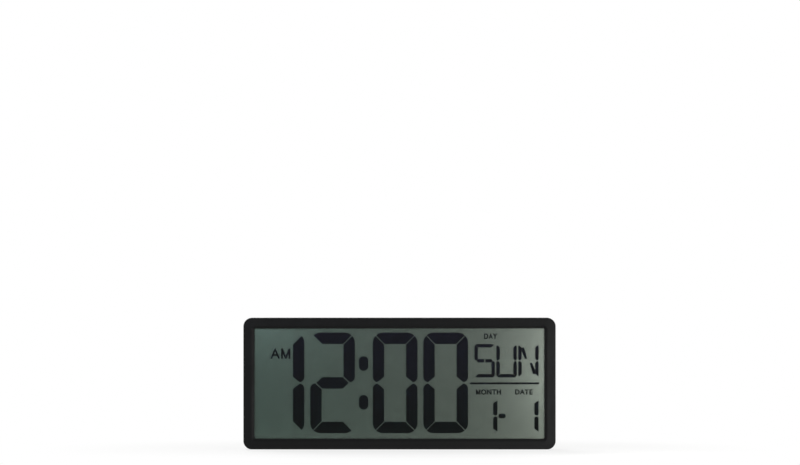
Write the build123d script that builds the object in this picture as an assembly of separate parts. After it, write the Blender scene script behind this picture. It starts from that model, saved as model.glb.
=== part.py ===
from build123d import *
import os
from math import acos, cos, degrees, pi, sin, sqrt

# A jumbo LCD clock for a wall or a table, in millimetres.
# Frame: X to the right as seen from the front, the display faces -Y, Z is up.
# The origin is the middle of the bottom edge that the clock stands on.
# Nodes are built as if the stand is folded in and the battery door is shut.

# Big time digits
DIGIT_WIDTH = 52.6
DIGIT_HEIGHT = 118.55
DIGIT_STROKE = 13.35
DIGIT_CORNER_R = 12.2
DIGIT_WAIST_R = 6.3
DIGIT_SPACE = 7.0
SEGMENT_GAP = 1.05
SEGMENT_TIP_SHIFT = 1.3
SEGMENT_TIP_CUT = 0.2
COLON_WIDTH = 10.85
COLON_HEIGHT = 16.9
COLON_CORNER_R = 5.1
COLON_LEFT_GAP = 4.9
COLON_RIGHT_GAP = 5.5
COLON_SPREAD = 45.7

# Day letters, dividing bar, month and date
LETTER_WIDTH = 23.9
LETTER_HEIGHT = 39.3
LETTER_STROKE = 3.95
LETTER_CORNER_R = 3.6
LETTER_WAIST_R = 2.0
LETTER_SPACE = 1.9
LETTER_GAP = 0.45
LETTER_INSET = 0.7
LETTER_TIP_CUT = 0.3
LETTER_SPLIT = 1.9
DIAGONAL_FROM_MIDDLE = 1.5
DIAGONAL_TIP = 2.5
DIAGONAL_DROP = 4.8
DIAGONAL_NICK = 0.5
DIAGONAL_GAP = 0.2
LETTER_ABOVE_BAR = 5.9
BAR_LENGTH = 81.6
BAR_THICK = 2.2
BAR_ABOVE_MIDDLE = 0.2
ONE_HEIGHT = 37.4
ONE_STROKE = 4.95
ONE_BAR = 3.3
ONE_GAP = 0.6
ONE_CELL_WIDTH = 20.0
ONE_CORNER_R = 1.4
ONE_WAIST_R = 2.2
ONE_BELOW_BAR = 18.7
DATE_INSET = 0.7
MONTH_INSET = 49.3
DASH_WIDTH = 8.4
DASH_HEIGHT = 5.5
DASH_CORNER_R = 2.6
DASH_FROM_MONTH = 8.0

# Room around the digits inside the display opening
LEFT_ROOM = 6.1
TIME_TO_BAR = 2.35
RIGHT_ROOM = 6.3
TOP_ROOM = 4.95
BOTTOM_ROOM = 6.5

# Display stack, front to back
FACE_THICK = 2.8
WINDOW_THICK = 1.5
GASKET_THICK = 0.5
FILM_THICK = 0.3
GLASS_THICK = 1.1
CELL_GAP = 0.2
HOLDER_THICK = 2.0
GLASS_LAP = 2.5
FILM_LAP = 1.5
GASKET_WIDTH = 2.0
SEAL_WIDTH = 1.0
CONTACT_LEDGE = 5.0

# Case
CORNER_R = 10.0
WALL = 2.2
BEZEL_DEPTH = 12.0
FACE_FALL = 0.6
FRONT_EDGE_R = 1.8
REAR_EDGE_R = 5.0
OPENING_R = 1.5
BEVEL_WIDTH = 3.2
BEVEL_LAND = 0.5
PARTING_GROOVE = 0.4
TONGUE_THICK = 1.0
TONGUE_REACH = 2.0
FIT = 0.3
SLIP = 0.15
SOFT_EDGE = 0.5

# Screws and their bosses
BOSS_R = 3.0
BOSS_SIDE_GAP = 1.0
BOSS_END_GAP = 0.5
SKIRT_THICK = 1.0
WEB_THICK = 3.0
CASE_SCREW_R = 1.3
CASE_SCREW_LENGTH = 11.5
CASE_HEAD_R = 2.6
CASE_HEAD_THICK = 1.8
CASE_SCREW_SEAT = 4.0
WELL_R = 3.0
WELL_WALL = 1.2
CASE_SCREW_Z = 14.0
TOP_SCREW_X = 62.0
HOLDER_SCREW_R = 1.0
HOLDER_SCREW_LENGTH = 5.6
HOLDER_HEAD_R = 2.2
HOLDER_HEAD_THICK = 1.3
HOLDER_SCREW_Z = 45.0
HOLDER_TOP_X = 110.0
BOARD_SCREW_R = 0.9
BOARD_SCREW_LENGTH = 4.6
BOARD_HEAD_R = 2.0
BOARD_HEAD_THICK = 1.2
BOARD_SCREW_PITCH = 75.0
BOARD_SCREW_COUNT = 5
THREAD_FIT = 0.05
HOLE_FIT = 0.3
DRIVE_WIDTH = 0.7
DRIVE_DEPTH = 0.8

# Main board and what is on it
STANDOFF = 1.2
STANDOFF_R = 2.3
BOARD_THICK = 1.6
BOARD_HEIGHT = 27.5
BOARD_END_GAP = 8.5
ZEBRA_THICK = 3.0
ZEBRA_END_GAP = 2.0
CHIP_R = 8.0
CHIP_HEIGHT = 2.0
CHIP_EDGE_R = 1.6
CRYSTAL_R = 1.5
CRYSTAL_LENGTH = 8.0
CRYSTAL_X = 20.0
CAPACITOR_R = 2.5
CAPACITOR_HEIGHT = 5.8
CAPACITOR_X = -20.0
CAPACITOR_PITCH = 9.0
RESISTOR_LENGTH = 2.0
RESISTOR_WIDTH = 1.2
RESISTOR_HEIGHT = 0.6
RESISTOR_X = 32.0
RESISTOR_PITCH = 4.0
RESISTOR_COUNT = 6
BUZZER_R = 6.5
BUZZER_HEIGHT = 7.0
BUZZER_HOLE_R = 1.2
BUZZER_FROM_END = 45.0

# Keys, in a shallow panel in the back
KEY_Z = 22.0
KEYS_FROM_END = 23.0
KEY_PITCH = 18.0
KEY_NAMES = ["mode_button", "set_button", "up_button", "down_button", "snooze_button"]
KEY_R = 4.0
KEY_FLANGE = 1.2
KEY_FLANGE_THICK = 1.0
KEY_STEM_R = 1.7
KEY_TRAVEL = 0.6
KEY_BELOW_BACK = 0.2
PANEL_DEPTH = 1.2
PANEL_HEIGHT = 16.0
PANEL_MARGIN = 9.0
PANEL_R = 3.0
SWITCH_SIZE = 6.0
SWITCH_HEIGHT = 3.5
KEY_DIP = 0.4

# Alarm slide switch
SLIDE_FROM_END = 93.0
SLIDE_TRAVEL = 4.0
KNOB_WIDTH = 4.0
KNOB_HEIGHT = 3.4
KNOB_PLATE_THICK = 1.0
KNOB_STEM = 1.8
KNOB_GROOVE_WIDTH = 0.5
KNOB_GROOVE_DEPTH = 0.35
SLIDE_BODY_LENGTH = 13.0
SLIDE_BODY_HEIGHT = 6.4
SLIDE_BODY_DEPTH = 4.6
SLIDE_SLOT_DEPTH = 2.0

# Sound holes over the buzzer
SOUND_HOLE_R = 1.0
SOUND_RING_R = 4.0
SOUND_RING_COUNT = 6

# Batteries, their bay and its door
BATTERY_R = 7.25
BATTERY_LENGTH = 50.5
NUB_R = 2.75
NUB_HEIGHT = 1.3
BATTERY_EDGE_R = 0.8
BATTERY_ROOM = 0.45
BAY_WALL = 1.8
BAY_FLOOR = 1.6
HOLDER_TO_BAY = 1.4
BAY_BELOW_TOP = 17.4
SPRING_LENGTH = 5.5
SPRING_R = 3.2
SPRING_WIRE_R = 0.4
SPRING_TURNS = 3
PLATE_THICK = 0.5
PLATE_WIDTH = 11.0
PLATE_PLAY = 0.5
DOOR_THICK = 1.8
DOOR_WIDTH = 74.0
DOOR_BELOW_BAY = 1.4
DOOR_TOP_GAP = 2.5
RAIL_WIDTH = 1.0
RAIL_THICK = 0.8
RAIL_END = 3.0
SEAT_THICK = 2.0
GRIP_COUNT = 5
GRIP_PITCH = 2.4
GRIP_WIDTH = 1.1
GRIP_DEPTH = 0.5
GRIP_LENGTH = 26.0
ARROW_WIDTH = 8.0
ARROW_HEIGHT = 4.5
ARROW_ABOVE_GRIPS = 3.2

# Leads from the battery bay to the board
LEAD_R = 0.7
LEAD_BEND_R = 4.0
LEAD_LAST_BEND = 0.8
LEAD_OUT = 11.0
LEAD_SPLIT = 4.0

# Folding stand
LEG_WIDTH = 70.0
FOOT_WIDTH = 60.0
LEG_THICK = 3.2
FOOT_CORNER_R = 4.0
FOOT_Z = 4.5
BARREL_R = 3.2
LEG_BELOW_BACK = 0.1
LEG_GAP = 0.6
RECESS_DEPTH = 8.0
TRAY_WALL = 2.0
HINGE_TO_RECESS_TOP = 6.0
RECESS_TO_BAY = 3.0
TRUNNION_R = 2.0
TRUNNION_LENGTH = 3.0
HINGE_BLOCK = 4.4
HEEL_REACH = 5.2
HEEL_THICK = 2.0
HEEL_WIDTH = 20.0
STAND_ANGLE = 30.0
STAND_STOP_PLAY = 1.5
NOTCH_WIDTH = 12.0
NOTCH_HEIGHT = 18.0
NOTCH_Z = 22.0
NOTCH_DEPTH = 7.0
NOTCH_R = 4.0
FOOT_GRIP_COUNT = 3
FOOT_GRIP_PITCH = 3.6

# Wall keyholes
KEYHOLE_SPACING = 236.0
KEYHOLE_ENTRY_R = 4.5
KEYHOLE_SLOT_R = 2.3
KEYHOLE_RISE = 10.0
KEYHOLE_BELOW_TOP = 35.0
POCKET_ROOM = 4.0
POCKET_DEPTH = 6.0
POCKET_WALL = 1.5

# Worked out across and up
COLON_ROOM = COLON_LEFT_GAP + COLON_WIDTH + COLON_RIGHT_GAP
BLOCK_WIDTH = 4 * DIGIT_WIDTH + 2 * DIGIT_SPACE + COLON_ROOM
WINDOW_WIDTH = LEFT_ROOM + BLOCK_WIDTH + TIME_TO_BAR + BAR_LENGTH + RIGHT_ROOM
WINDOW_HEIGHT = BOTTOM_ROOM + DIGIT_HEIGHT + TOP_ROOM
FRAME_TO_GLASS = WALL + 2 * BOSS_R + SKIRT_THICK + FIT
WIDTH = WINDOW_WIDTH + 2 * (FRAME_TO_GLASS + BOSS_SIDE_GAP + GLASS_LAP)
HEIGHT = WINDOW_HEIGHT + 2 * (FRAME_TO_GLASS + BOSS_END_GAP + GLASS_LAP)
MIDDLE_Z = HEIGHT / 2
GLASS_BOTTOM = MIDDLE_Z - WINDOW_HEIGHT / 2 - GLASS_LAP
GLASS_TOP = MIDDLE_Z + WINDOW_HEIGHT / 2 + GLASS_LAP
GLASS_WIDTH = WINDOW_WIDTH + 2 * GLASS_LAP
LEDGE_BOTTOM = GLASS_BOTTOM - CONTACT_LEDGE
DIGIT_LEFT = -WINDOW_WIDTH / 2 + LEFT_ROOM
DIGIT_Z = MIDDLE_Z - WINDOW_HEIGHT / 2 + BOTTOM_ROOM + DIGIT_HEIGHT / 2
BAR_RIGHT = WINDOW_WIDTH / 2 - RIGHT_ROOM
BAR_Z = MIDDLE_Z + BAR_ABOVE_MIDDLE

# Worked out front to back: the stack, one battery and the door fill the depth
STACK = FACE_THICK + WINDOW_THICK + GASKET_THICK + 2 * FILM_THICK + 2 * GLASS_THICK + CELL_GAP
BAY_DEPTH = BAY_FLOOR + 2 * BATTERY_ROOM + 2 * BATTERY_R
DEPTH = STACK + HOLDER_THICK + HOLDER_TO_BAY + BAY_DEPTH + DOOR_THICK
FRONT = -DEPTH / 2
BACK = DEPTH / 2
PARTING = FRONT + BEZEL_DEPTH
FACE_REAR = FRONT + FACE_THICK
WINDOW_REAR = FACE_REAR + WINDOW_THICK
GASKET_REAR = WINDOW_REAR + GASKET_THICK
FRONT_FILM_REAR = GASKET_REAR + FILM_THICK
CELL_FRONT = FRONT_FILM_REAR + GLASS_THICK
CELL_REAR = CELL_FRONT + CELL_GAP
REAR_GLASS_REAR = CELL_REAR + GLASS_THICK
HOLDER_FRONT = REAR_GLASS_REAR + FILM_THICK
HOLDER_REAR = HOLDER_FRONT + HOLDER_THICK
BOARD_FRONT = HOLDER_REAR + STANDOFF
BOARD_REAR = BOARD_FRONT + BOARD_THICK
BAY_FRONT = HOLDER_REAR + HOLDER_TO_BAY
BAY_INSIDE = BAY_FRONT + BAY_FLOOR
BATTERY_Y = BAY_INSIDE + BATTERY_ROOM + BATTERY_R
DOOR_FRONT = BACK - DOOR_THICK
DOOR_SEAT = DOOR_FRONT - SLIP
SCREW_SEAT = PARTING + CASE_SCREW_SEAT

# Screw places
BOSS_X = WIDTH / 2 - WALL - BOSS_R
TOP_BOSS_Z = HEIGHT - WALL - BOSS_R
CASE_SCREW_PLACES = [
    (-BOSS_X, CASE_SCREW_Z),
    (BOSS_X, CASE_SCREW_Z),
    (-BOSS_X, HEIGHT - CASE_SCREW_Z),
    (BOSS_X, HEIGHT - CASE_SCREW_Z),
    (-TOP_SCREW_X, TOP_BOSS_Z),
    (TOP_SCREW_X, TOP_BOSS_Z),
]
HOLDER_SCREW_PLACES = [
    (-BOSS_X, HOLDER_SCREW_Z),
    (BOSS_X, HOLDER_SCREW_Z),
    (-BOSS_X, HEIGHT - HOLDER_SCREW_Z),
    (BOSS_X, HEIGHT - HOLDER_SCREW_Z),
    (-HOLDER_TOP_X, TOP_BOSS_Z),
    (0, TOP_BOSS_Z),
    (HOLDER_TOP_X, TOP_BOSS_Z),
]
ZEBRA_Z = GLASS_BOTTOM - CONTACT_LEDGE / 2
BOARD_BOTTOM = LEDGE_BOTTOM - FIT
BOARD_WIDTH = GLASS_WIDTH - 2 * BOARD_END_GAP
ZEBRA_LENGTH = BOARD_WIDTH - 2 * ZEBRA_END_GAP
BOARD_SCREW_Z = ZEBRA_Z + ZEBRA_THICK / 2 + FIT + STANDOFF_R + FIT
PAD_Z = BOARD_BOTTOM + BOARD_HEIGHT - STANDOFF_R
BOARD_SCREW_XS = [
    (i - (BOARD_SCREW_COUNT - 1) / 2) * BOARD_SCREW_PITCH for i in range(BOARD_SCREW_COUNT)
]

# Battery bay places
BAY_TOP = HEIGHT - BAY_BELOW_TOP
BAY_HEIGHT = 4 * BATTERY_R + 4 * BATTERY_ROOM
BAY_BOTTOM = BAY_TOP - BAY_HEIGHT
BAY_LENGTH = BATTERY_LENGTH + SPRING_LENGTH + 2 * PLATE_THICK + PLATE_PLAY
UPPER_Z = BAY_TOP - BATTERY_ROOM - BATTERY_R
LOWER_Z = BAY_BOTTOM + BATTERY_ROOM + BATTERY_R
DOOR_BOTTOM = BAY_BOTTOM - DOOR_BELOW_BAY
DOOR_TOP = HEIGHT - DOOR_TOP_GAP

# Stand places
RECESS_FLOOR = BACK - RECESS_DEPTH
RECESS_TOP = BAY_BOTTOM - BAY_WALL - RECESS_TO_BAY - TRAY_WALL
HINGE_Z = RECESS_TOP - HINGE_TO_RECESS_TOP
HINGE_Y = BACK - LEG_BELOW_BACK - BARREL_R
LEG_BACK = BACK - LEG_BELOW_BACK

# Key places
KEY_LAST = BOARD_WIDTH / 2 - KEYS_FROM_END
KEY_XS = [KEY_LAST - i * KEY_PITCH for i in reversed(range(len(KEY_NAMES)))]
SLIDE_X = SLIDE_FROM_END - BOARD_WIDTH / 2
BUZZER_X = BUZZER_FROM_END - BOARD_WIDTH / 2
PANEL_FLOOR = BACK - PANEL_DEPTH
PANEL_INSIDE = PANEL_FLOOR - WALL
KEY_TOP = BACK - KEY_BELOW_BACK
SWITCH_TOP = BOARD_REAR + SWITCH_HEIGHT
SWITCH_BORE_DEPTH = KEY_DIP + KEY_TRAVEL + 2 * FIT

KEYHOLE_Z = HEIGHT - KEYHOLE_BELOW_TOP
BEYOND = 1.0


def slab(outline, front, back):
    """A flat outline, x across and z up, made solid from y = front to y = back."""
    return extrude(Plane.XZ.offset(-back) * outline, amount=back - front, dir=(0, -1, 0))


def pin(x, z, radius, front, back):
    """A round bar along Y."""
    return slab(Pos(x, z) * Circle(radius), front, back)


def block(x0, x1, y0, y1, z0, z1):
    """A box between two corners."""
    middle = Pos((x0 + x1) / 2, (y0 + y1) / 2, (z0 + z1) / 2)
    return middle * Box(x1 - x0, y1 - y0, z1 - z0)


def rounded(width, height, radius, x=0.0, z=MIDDLE_Z):
    """A rounded rectangle outline."""
    return Pos(x, z) * RectangleRounded(width, height, radius)


def case_outline(inset):
    """The case seen from the front, drawn in by inset."""
    return rounded(WIDTH - 2 * inset, HEIGHT - 2 * inset, CORNER_R - inset)


def opening_outline(grow):
    """The display opening, grown by grow."""
    return rounded(WINDOW_WIDTH + 2 * grow, WINDOW_HEIGHT + 2 * grow, OPENING_R + grow)


def lapped(lap):
    """A plain sheet that laps behind the display opening."""
    return rounded(WINDOW_WIDTH + 2 * lap, WINDOW_HEIGHT + 2 * lap, OPENING_R)


def edges_at_y(solid, y):
    """Every edge of a solid that lies in the plane at y."""
    near = 1e-4
    return [
        edge
        for edge in solid.edges()
        if abs(edge.bounding_box().min.Y - y) < near and abs(edge.bounding_box().max.Y - y) < near
    ]


def group(solids):
    """Separate solids kept in one node."""
    return Compound(children=list(solids))


def solids_of(shape):
    return list(shape.solids())


def screw(x, z, seat, head_r, head_thick, shank_r, length):
    """A pan screw driven from the back: its head rests on y = seat, its shank points at -Y."""
    head = pin(x, z, head_r, seat, seat + head_thick)
    head = fillet(edges_at_y(head, seat + head_thick), min(SOFT_EDGE, head_thick / 2))
    shank = pin(x, z, shank_r, seat - length, seat)
    shank = chamfer(edges_at_y(shank, seat - length), min(SOFT_EDGE, shank_r / 2))
    body = head + shank
    reach = head_r + SOFT_EDGE
    slot = Pos(x, z) * Rectangle(reach, DRIVE_WIDTH)
    cross = Pos(x, z) * Rectangle(DRIVE_WIDTH, reach)
    top = seat + head_thick
    return body - slab(slot + cross, top - DRIVE_DEPTH, top + BEYOND)


def front_bezel():
    """The moulded frame: a face ring that falls away to a rounded edge, and the side walls."""
    edge_y = FRONT + FACE_FALL
    ring = slab(case_outline(0), edge_y, PARTING)
    crown = loft(
        [
            Plane.XZ.offset(-edge_y) * case_outline(0),
            Plane.XZ.offset(-FRONT) * opening_outline(BEVEL_WIDTH),
        ],
        ruled=True,
    )
    body = ring + crown
    body = fillet(edges_at_y(body, edge_y), FRONT_EDGE_R)
    body -= slab(case_outline(WALL), FACE_REAR, PARTING + BEYOND)
    body -= slab(opening_outline(0), FRONT - BEYOND, FACE_REAR + BEYOND)
    body -= loft(
        [
            Plane.XZ.offset(-FRONT) * opening_outline(BEVEL_WIDTH),
            Plane.XZ.offset(BEVEL_LAND - FACE_REAR) * opening_outline(0),
        ],
        ruled=True,
    )
    for x, z in CASE_SCREW_PLACES:
        body += boss(x, z, PARTING)
        body -= pin(x, z, CASE_SCREW_R + THREAD_FIT, SCREW_SEAT - CASE_SCREW_LENGTH - FIT, PARTING)
    for x, z in HOLDER_SCREW_PLACES:
        body += boss(x, z, HOLDER_FRONT)
        bottom = HOLDER_REAR - HOLDER_SCREW_LENGTH - FIT
        body -= pin(x, z, HOLDER_SCREW_R + THREAD_FIT, bottom, HOLDER_FRONT)
    return body


def boss(x, z, top):
    """A screw boss on the bezel face, with a web to the nearest wall."""
    post = pin(x, z, BOSS_R, FACE_REAR, top)
    if abs(x) == BOSS_X:
        side = 1 if x > 0 else -1
        near, far = sorted([x, x + side * (BOSS_R + WALL / 2)])
        web = block(near, far, FACE_REAR, top, z - WEB_THICK / 2, z + WEB_THICK / 2)
    else:
        web = block(x - WEB_THICK / 2, x + WEB_THICK / 2, FACE_REAR, top, z, z + BOSS_R + WALL / 2)
    return post + web


def display_window():
    return slab(lapped(GLASS_LAP), FACE_REAR, WINDOW_REAR)


def window_gasket():
    ring = lapped(GLASS_LAP) - lapped(GLASS_LAP - GASKET_WIDTH)
    return slab(ring, WINDOW_REAR, GASKET_REAR)


def front_polariser():
    return slab(lapped(FILM_LAP), GASKET_REAR, FRONT_FILM_REAR)


def lcd_front_glass():
    """The front sheet, longer at the bottom, where the board's contacts meet it."""
    height = GLASS_TOP - LEDGE_BOTTOM
    sheet = Pos(0, LEDGE_BOTTOM + height / 2) * Rectangle(GLASS_WIDTH, height)
    return slab(sheet, FRONT_FILM_REAR, CELL_FRONT)


def lcd_rear_glass():
    height = GLASS_TOP - GLASS_BOTTOM
    sheet = Pos(0, GLASS_BOTTOM + height / 2) * Rectangle(GLASS_WIDTH, height)
    return slab(sheet, CELL_REAR, REAR_GLASS_REAR)


def lcd_edge_seal():
    ring = lapped(FILM_LAP) - lapped(FILM_LAP - SEAL_WIDTH)
    return slab(ring, CELL_FRONT, CELL_REAR)


def rear_reflector():
    return slab(lapped(FILM_LAP), REAR_GLASS_REAR, HOLDER_FRONT)


def digit_segments(width, height, stroke, bar, gap, corner_r, waist_r, tip_shift, tip_cut):
    """The seven outlines of a digit about its own middle, by their usual letters.

    Upright segments are as wide as stroke and level ones as thick as bar.
    """
    w, h, s, b = width / 2, height / 2, stroke, bar
    m = gap / sqrt(2)
    tip = w - s / 2 + tip_shift
    body = RectangleRounded(width, height, corner_r)
    upper = Pos(0, h + m) * RectangleRounded(width, height, waist_r)
    top = Polygon((-w + m, h), (w - m, h), (w - s - m, h - b), (-w + s + m, h - b), align=None)
    side = Polygon(
        (w, h - m), (w, m), (tip, m), (w - s, b / 2 + m), (w - s, h - b - m), align=None
    )
    inner = w - s / 2 - m
    level = Polygon(
        (-inner, 0),
        (-inner + b / 2, b / 2),
        (inner - b / 2, b / 2),
        (inner, 0),
        (inner - b / 2, -b / 2),
        (-inner + b / 2, -b / 2),
        align=None,
    )
    waist = Rectangle(width + gap, 2 * (m + tip_cut))
    ends = RectangleRounded(2 * (inner - tip_cut), bar + gap, gap / 2)
    top, side, level = body & top, (body & upper & side) - waist, level & ends
    return {
        "a": top,
        "b": side,
        "c": mirror(side, Plane.XZ),
        "d": mirror(top, Plane.XZ),
        "e": mirror(mirror(side, Plane.XZ), Plane.YZ),
        "f": mirror(side, Plane.YZ),
        "g": level,
    }


def in_cell(outline):
    """An outline filled in between the two glasses."""
    return slab(outline, CELL_FRONT, CELL_REAR)


def time_segments():
    """Twelve o'clock, with the digits in two pairs around the colon."""
    parts = digit_segments(
        DIGIT_WIDTH,
        DIGIT_HEIGHT,
        DIGIT_STROKE,
        DIGIT_STROKE,
        SEGMENT_GAP,
        DIGIT_CORNER_R,
        DIGIT_WAIST_R,
        SEGMENT_TIP_SHIFT,
        SEGMENT_TIP_CUT,
    )
    lit = ["bc", "abged", "abcdef", "abcdef"]
    pair = DIGIT_WIDTH + DIGIT_SPACE
    second_pair = pair + DIGIT_WIDTH + COLON_ROOM
    lefts = [0, pair, second_pair, second_pair + pair]
    for left, letters in zip(lefts, lit):
        place = Pos(DIGIT_LEFT + left + DIGIT_WIDTH / 2, DIGIT_Z)
        for letter in letters:
            yield in_cell(place * parts[letter])


def colon_dots():
    x = DIGIT_LEFT + 2 * DIGIT_WIDTH + DIGIT_SPACE + COLON_LEFT_GAP + COLON_WIDTH / 2
    for side in (-1, 1):
        dot = rounded(COLON_WIDTH, COLON_HEIGHT, COLON_CORNER_R, x, DIGIT_Z + side * COLON_SPREAD / 2)
        yield in_cell(dot)


def letter_diagonal(side):
    """One slanted stroke of the letter N: 1 is the upper left one, -1 the lower right one."""
    top_x = -LETTER_WIDTH / 2 + LETTER_STROKE + DIAGONAL_GAP
    top_z = LETTER_HEIGHT / 2 - LETTER_STROKE
    low_x = -DIAGONAL_FROM_MIDDLE
    low_z = LETTER_STROKE / 2 + DIAGONAL_GAP
    shape = Polygon(
        (top_x, top_z),
        (top_x + DIAGONAL_TIP, top_z),
        (low_x, low_z + DIAGONAL_NICK),
        (low_x - DIAGONAL_TIP, low_z),
        (top_x, top_z - DIAGONAL_DROP),
        align=None,
    )
    return shape if side > 0 else mirror(mirror(shape, Plane.XZ), Plane.YZ)


def day_segments():
    """The day in three fourteen segment letters, set from the right end of the bar."""
    parts = digit_segments(
        LETTER_WIDTH,
        LETTER_HEIGHT,
        LETTER_STROKE,
        LETTER_STROKE,
        LETTER_GAP,
        LETTER_CORNER_R,
        LETTER_WAIST_R,
        0,
        LETTER_TIP_CUT,
    )
    halves = parts["g"] - Rectangle(LETTER_SPLIT, LETTER_HEIGHT)
    z = BAR_Z + BAR_THICK / 2 + LETTER_ABOVE_BAR + LETTER_HEIGHT / 2
    pitch = LETTER_WIDTH + LETTER_SPACE
    last = BAR_RIGHT - LETTER_INSET - LETTER_WIDTH / 2
    letters = [
        [parts[s] for s in "acdf"] + [halves],
        [parts[s] for s in "bcdef"],
        [parts[s] for s in "bcef"] + [letter_diagonal(1), letter_diagonal(-1)],
    ]
    for index, outlines in enumerate(letters):
        place = Pos(last - (2 - index) * pitch, z)
        for outline in outlines:
            yield from solids_of(in_cell(place * outline))


def calendar_ones():
    """Month 1, a dash and date 1."""
    parts = digit_segments(
        ONE_CELL_WIDTH,
        ONE_HEIGHT,
        ONE_STROKE,
        ONE_BAR,
        ONE_GAP,
        ONE_CORNER_R,
        ONE_WAIST_R,
        0,
        LETTER_TIP_CUT,
    )
    z = BAR_Z - BAR_THICK / 2 - ONE_BELOW_BAR - ONE_HEIGHT / 2
    for inset in (MONTH_INSET, DATE_INSET):
        place = Pos(BAR_RIGHT - inset - ONE_CELL_WIDTH / 2, z)
        for letter in "bc":
            yield in_cell(place * parts[letter])
    dash_x = BAR_RIGHT - MONTH_INSET - ONE_STROKE / 2 + DASH_FROM_MONTH
    yield in_cell(rounded(DASH_WIDTH, DASH_HEIGHT, DASH_CORNER_R, dash_x, z))


def divider_bar():
    x = BAR_RIGHT - BAR_LENGTH / 2
    return in_cell(Pos(x, BAR_Z) * SlotOverall(BAR_LENGTH, BAR_THICK))


def lcd_holder():
    """The tray that clamps the display: a plate with a skirt round it, ears and board standoffs."""
    bottom = LEDGE_BOTTOM - FIT - SKIRT_THICK
    top = GLASS_TOP + FIT + SKIRT_THICK
    width = GLASS_WIDTH + 2 * (FIT + SKIRT_THICK)
    middle = Pos(0, (bottom + top) / 2)
    plate = middle * RectangleRounded(width, top - bottom, SKIRT_THICK)
    inside = middle * Rectangle(width - 2 * SKIRT_THICK, top - bottom - 2 * SKIRT_THICK)
    body = slab(plate, HOLDER_FRONT, HOLDER_REAR)
    body += slab(plate - inside, FACE_REAR + FIT, HOLDER_FRONT)
    for x, z in HOLDER_SCREW_PLACES:
        body += slab(holder_ear(x, z, width / 2, top), HOLDER_FRONT, HOLDER_REAR)
        body -= pin(x, z, HOLDER_SCREW_R + HOLE_FIT, HOLDER_FRONT - BEYOND, HOLDER_REAR + BEYOND)
    for x in BOARD_SCREW_XS:
        body += pin(x, BOARD_SCREW_Z, STANDOFF_R, HOLDER_REAR, BOARD_FRONT)
        body += pin(x, PAD_Z, STANDOFF_R, HOLDER_REAR, BOARD_FRONT)
        body -= pin(x, BOARD_SCREW_Z, BOARD_SCREW_R + THREAD_FIT, HOLDER_FRONT, BOARD_FRONT)
    slot = rounded(ZEBRA_LENGTH + 2 * FIT, ZEBRA_THICK + 2 * FIT, FIT, 0, ZEBRA_Z)
    return body - slab(slot, HOLDER_FRONT - BEYOND, HOLDER_REAR + BEYOND)


def holder_ear(x, z, half_width, top):
    """An ear of the holder on one bezel boss."""
    disc = Pos(x, z) * Circle(BOSS_R - FIT)
    if abs(x) == BOSS_X:
        reach = abs(x) - half_width + SKIRT_THICK
        side = 1 if x > 0 else -1
        return disc + Pos(x - side * reach / 2, z) * Rectangle(reach, 2 * (BOSS_R - FIT))
    reach = z - top + SKIRT_THICK
    return disc + Pos(x, z - reach / 2) * Rectangle(2 * (BOSS_R - FIT), reach)


def zebra_strip():
    """The rubber strip that joins the board's pads to the glass ledge."""
    strip = Pos(0, ZEBRA_Z) * Rectangle(ZEBRA_LENGTH, ZEBRA_THICK)
    return slab(strip, CELL_FRONT, BOARD_FRONT)


def main_board():
    middle_z = BOARD_BOTTOM + BOARD_HEIGHT / 2
    board = slab(Pos(0, middle_z) * Rectangle(BOARD_WIDTH, BOARD_HEIGHT), BOARD_FRONT, BOARD_REAR)
    for x in BOARD_SCREW_XS:
        board -= pin(x, BOARD_SCREW_Z, BOARD_SCREW_R + HOLE_FIT, BOARD_FRONT, BOARD_REAR)
    return board


def clock_chip():
    blob = pin(0, KEY_Z, CHIP_R, BOARD_REAR, BOARD_REAR + CHIP_HEIGHT)
    return fillet(edges_at_y(blob, BOARD_REAR + CHIP_HEIGHT), min(CHIP_EDGE_R, CHIP_HEIGHT - SLIP))


def crystal_can():
    can = Cylinder(CRYSTAL_R, CRYSTAL_LENGTH)
    return Pos(CRYSTAL_X, BOARD_REAR + CRYSTAL_R, KEY_Z) * can


def capacitors():
    for i in range(2):
        x = CAPACITOR_X - i * CAPACITOR_PITCH
        can = pin(x, KEY_Z, CAPACITOR_R, BOARD_REAR, BOARD_REAR + CAPACITOR_HEIGHT)
        yield fillet(edges_at_y(can, BOARD_REAR + CAPACITOR_HEIGHT), SOFT_EDGE)


def resistors():
    for i in range(RESISTOR_COUNT):
        x = RESISTOR_X + i * RESISTOR_PITCH
        chip = Pos(x, KEY_Z) * Rectangle(RESISTOR_WIDTH, RESISTOR_LENGTH)
        yield slab(chip, BOARD_REAR, BOARD_REAR + RESISTOR_HEIGHT)


def tact_switches():
    """One square switch under each button, bored for its stem."""
    for x in KEY_XS:
        body = slab(rounded(SWITCH_SIZE, SWITCH_SIZE, SOFT_EDGE, x, KEY_Z), BOARD_REAR, SWITCH_TOP)
        yield body - pin(x, KEY_Z, KEY_STEM_R + HOLE_FIT, SWITCH_TOP - SWITCH_BORE_DEPTH, SWITCH_TOP)


def buzzer():
    top = BOARD_REAR + BUZZER_HEIGHT
    can = pin(BUZZER_X, KEY_Z, BUZZER_R, BOARD_REAR, top)
    can = fillet(edges_at_y(can, top), SOFT_EDGE)
    return can - pin(BUZZER_X, KEY_Z, BUZZER_HOLE_R, top - BUZZER_HOLE_R, top + BEYOND)


def key_button(x):
    """A round cap in the panel, with a flange behind it and a stem down to its switch."""
    flange_back = PANEL_INSIDE - FIT
    cap = pin(x, KEY_Z, KEY_R, flange_back, KEY_TOP)
    cap = fillet(edges_at_y(cap, KEY_TOP), SOFT_EDGE)
    flange = pin(x, KEY_Z, KEY_R + KEY_FLANGE, flange_back - KEY_FLANGE_THICK, flange_back)
    stem = pin(x, KEY_Z, KEY_STEM_R, SWITCH_TOP - KEY_DIP, flange_back)
    return cap + flange + stem


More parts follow.
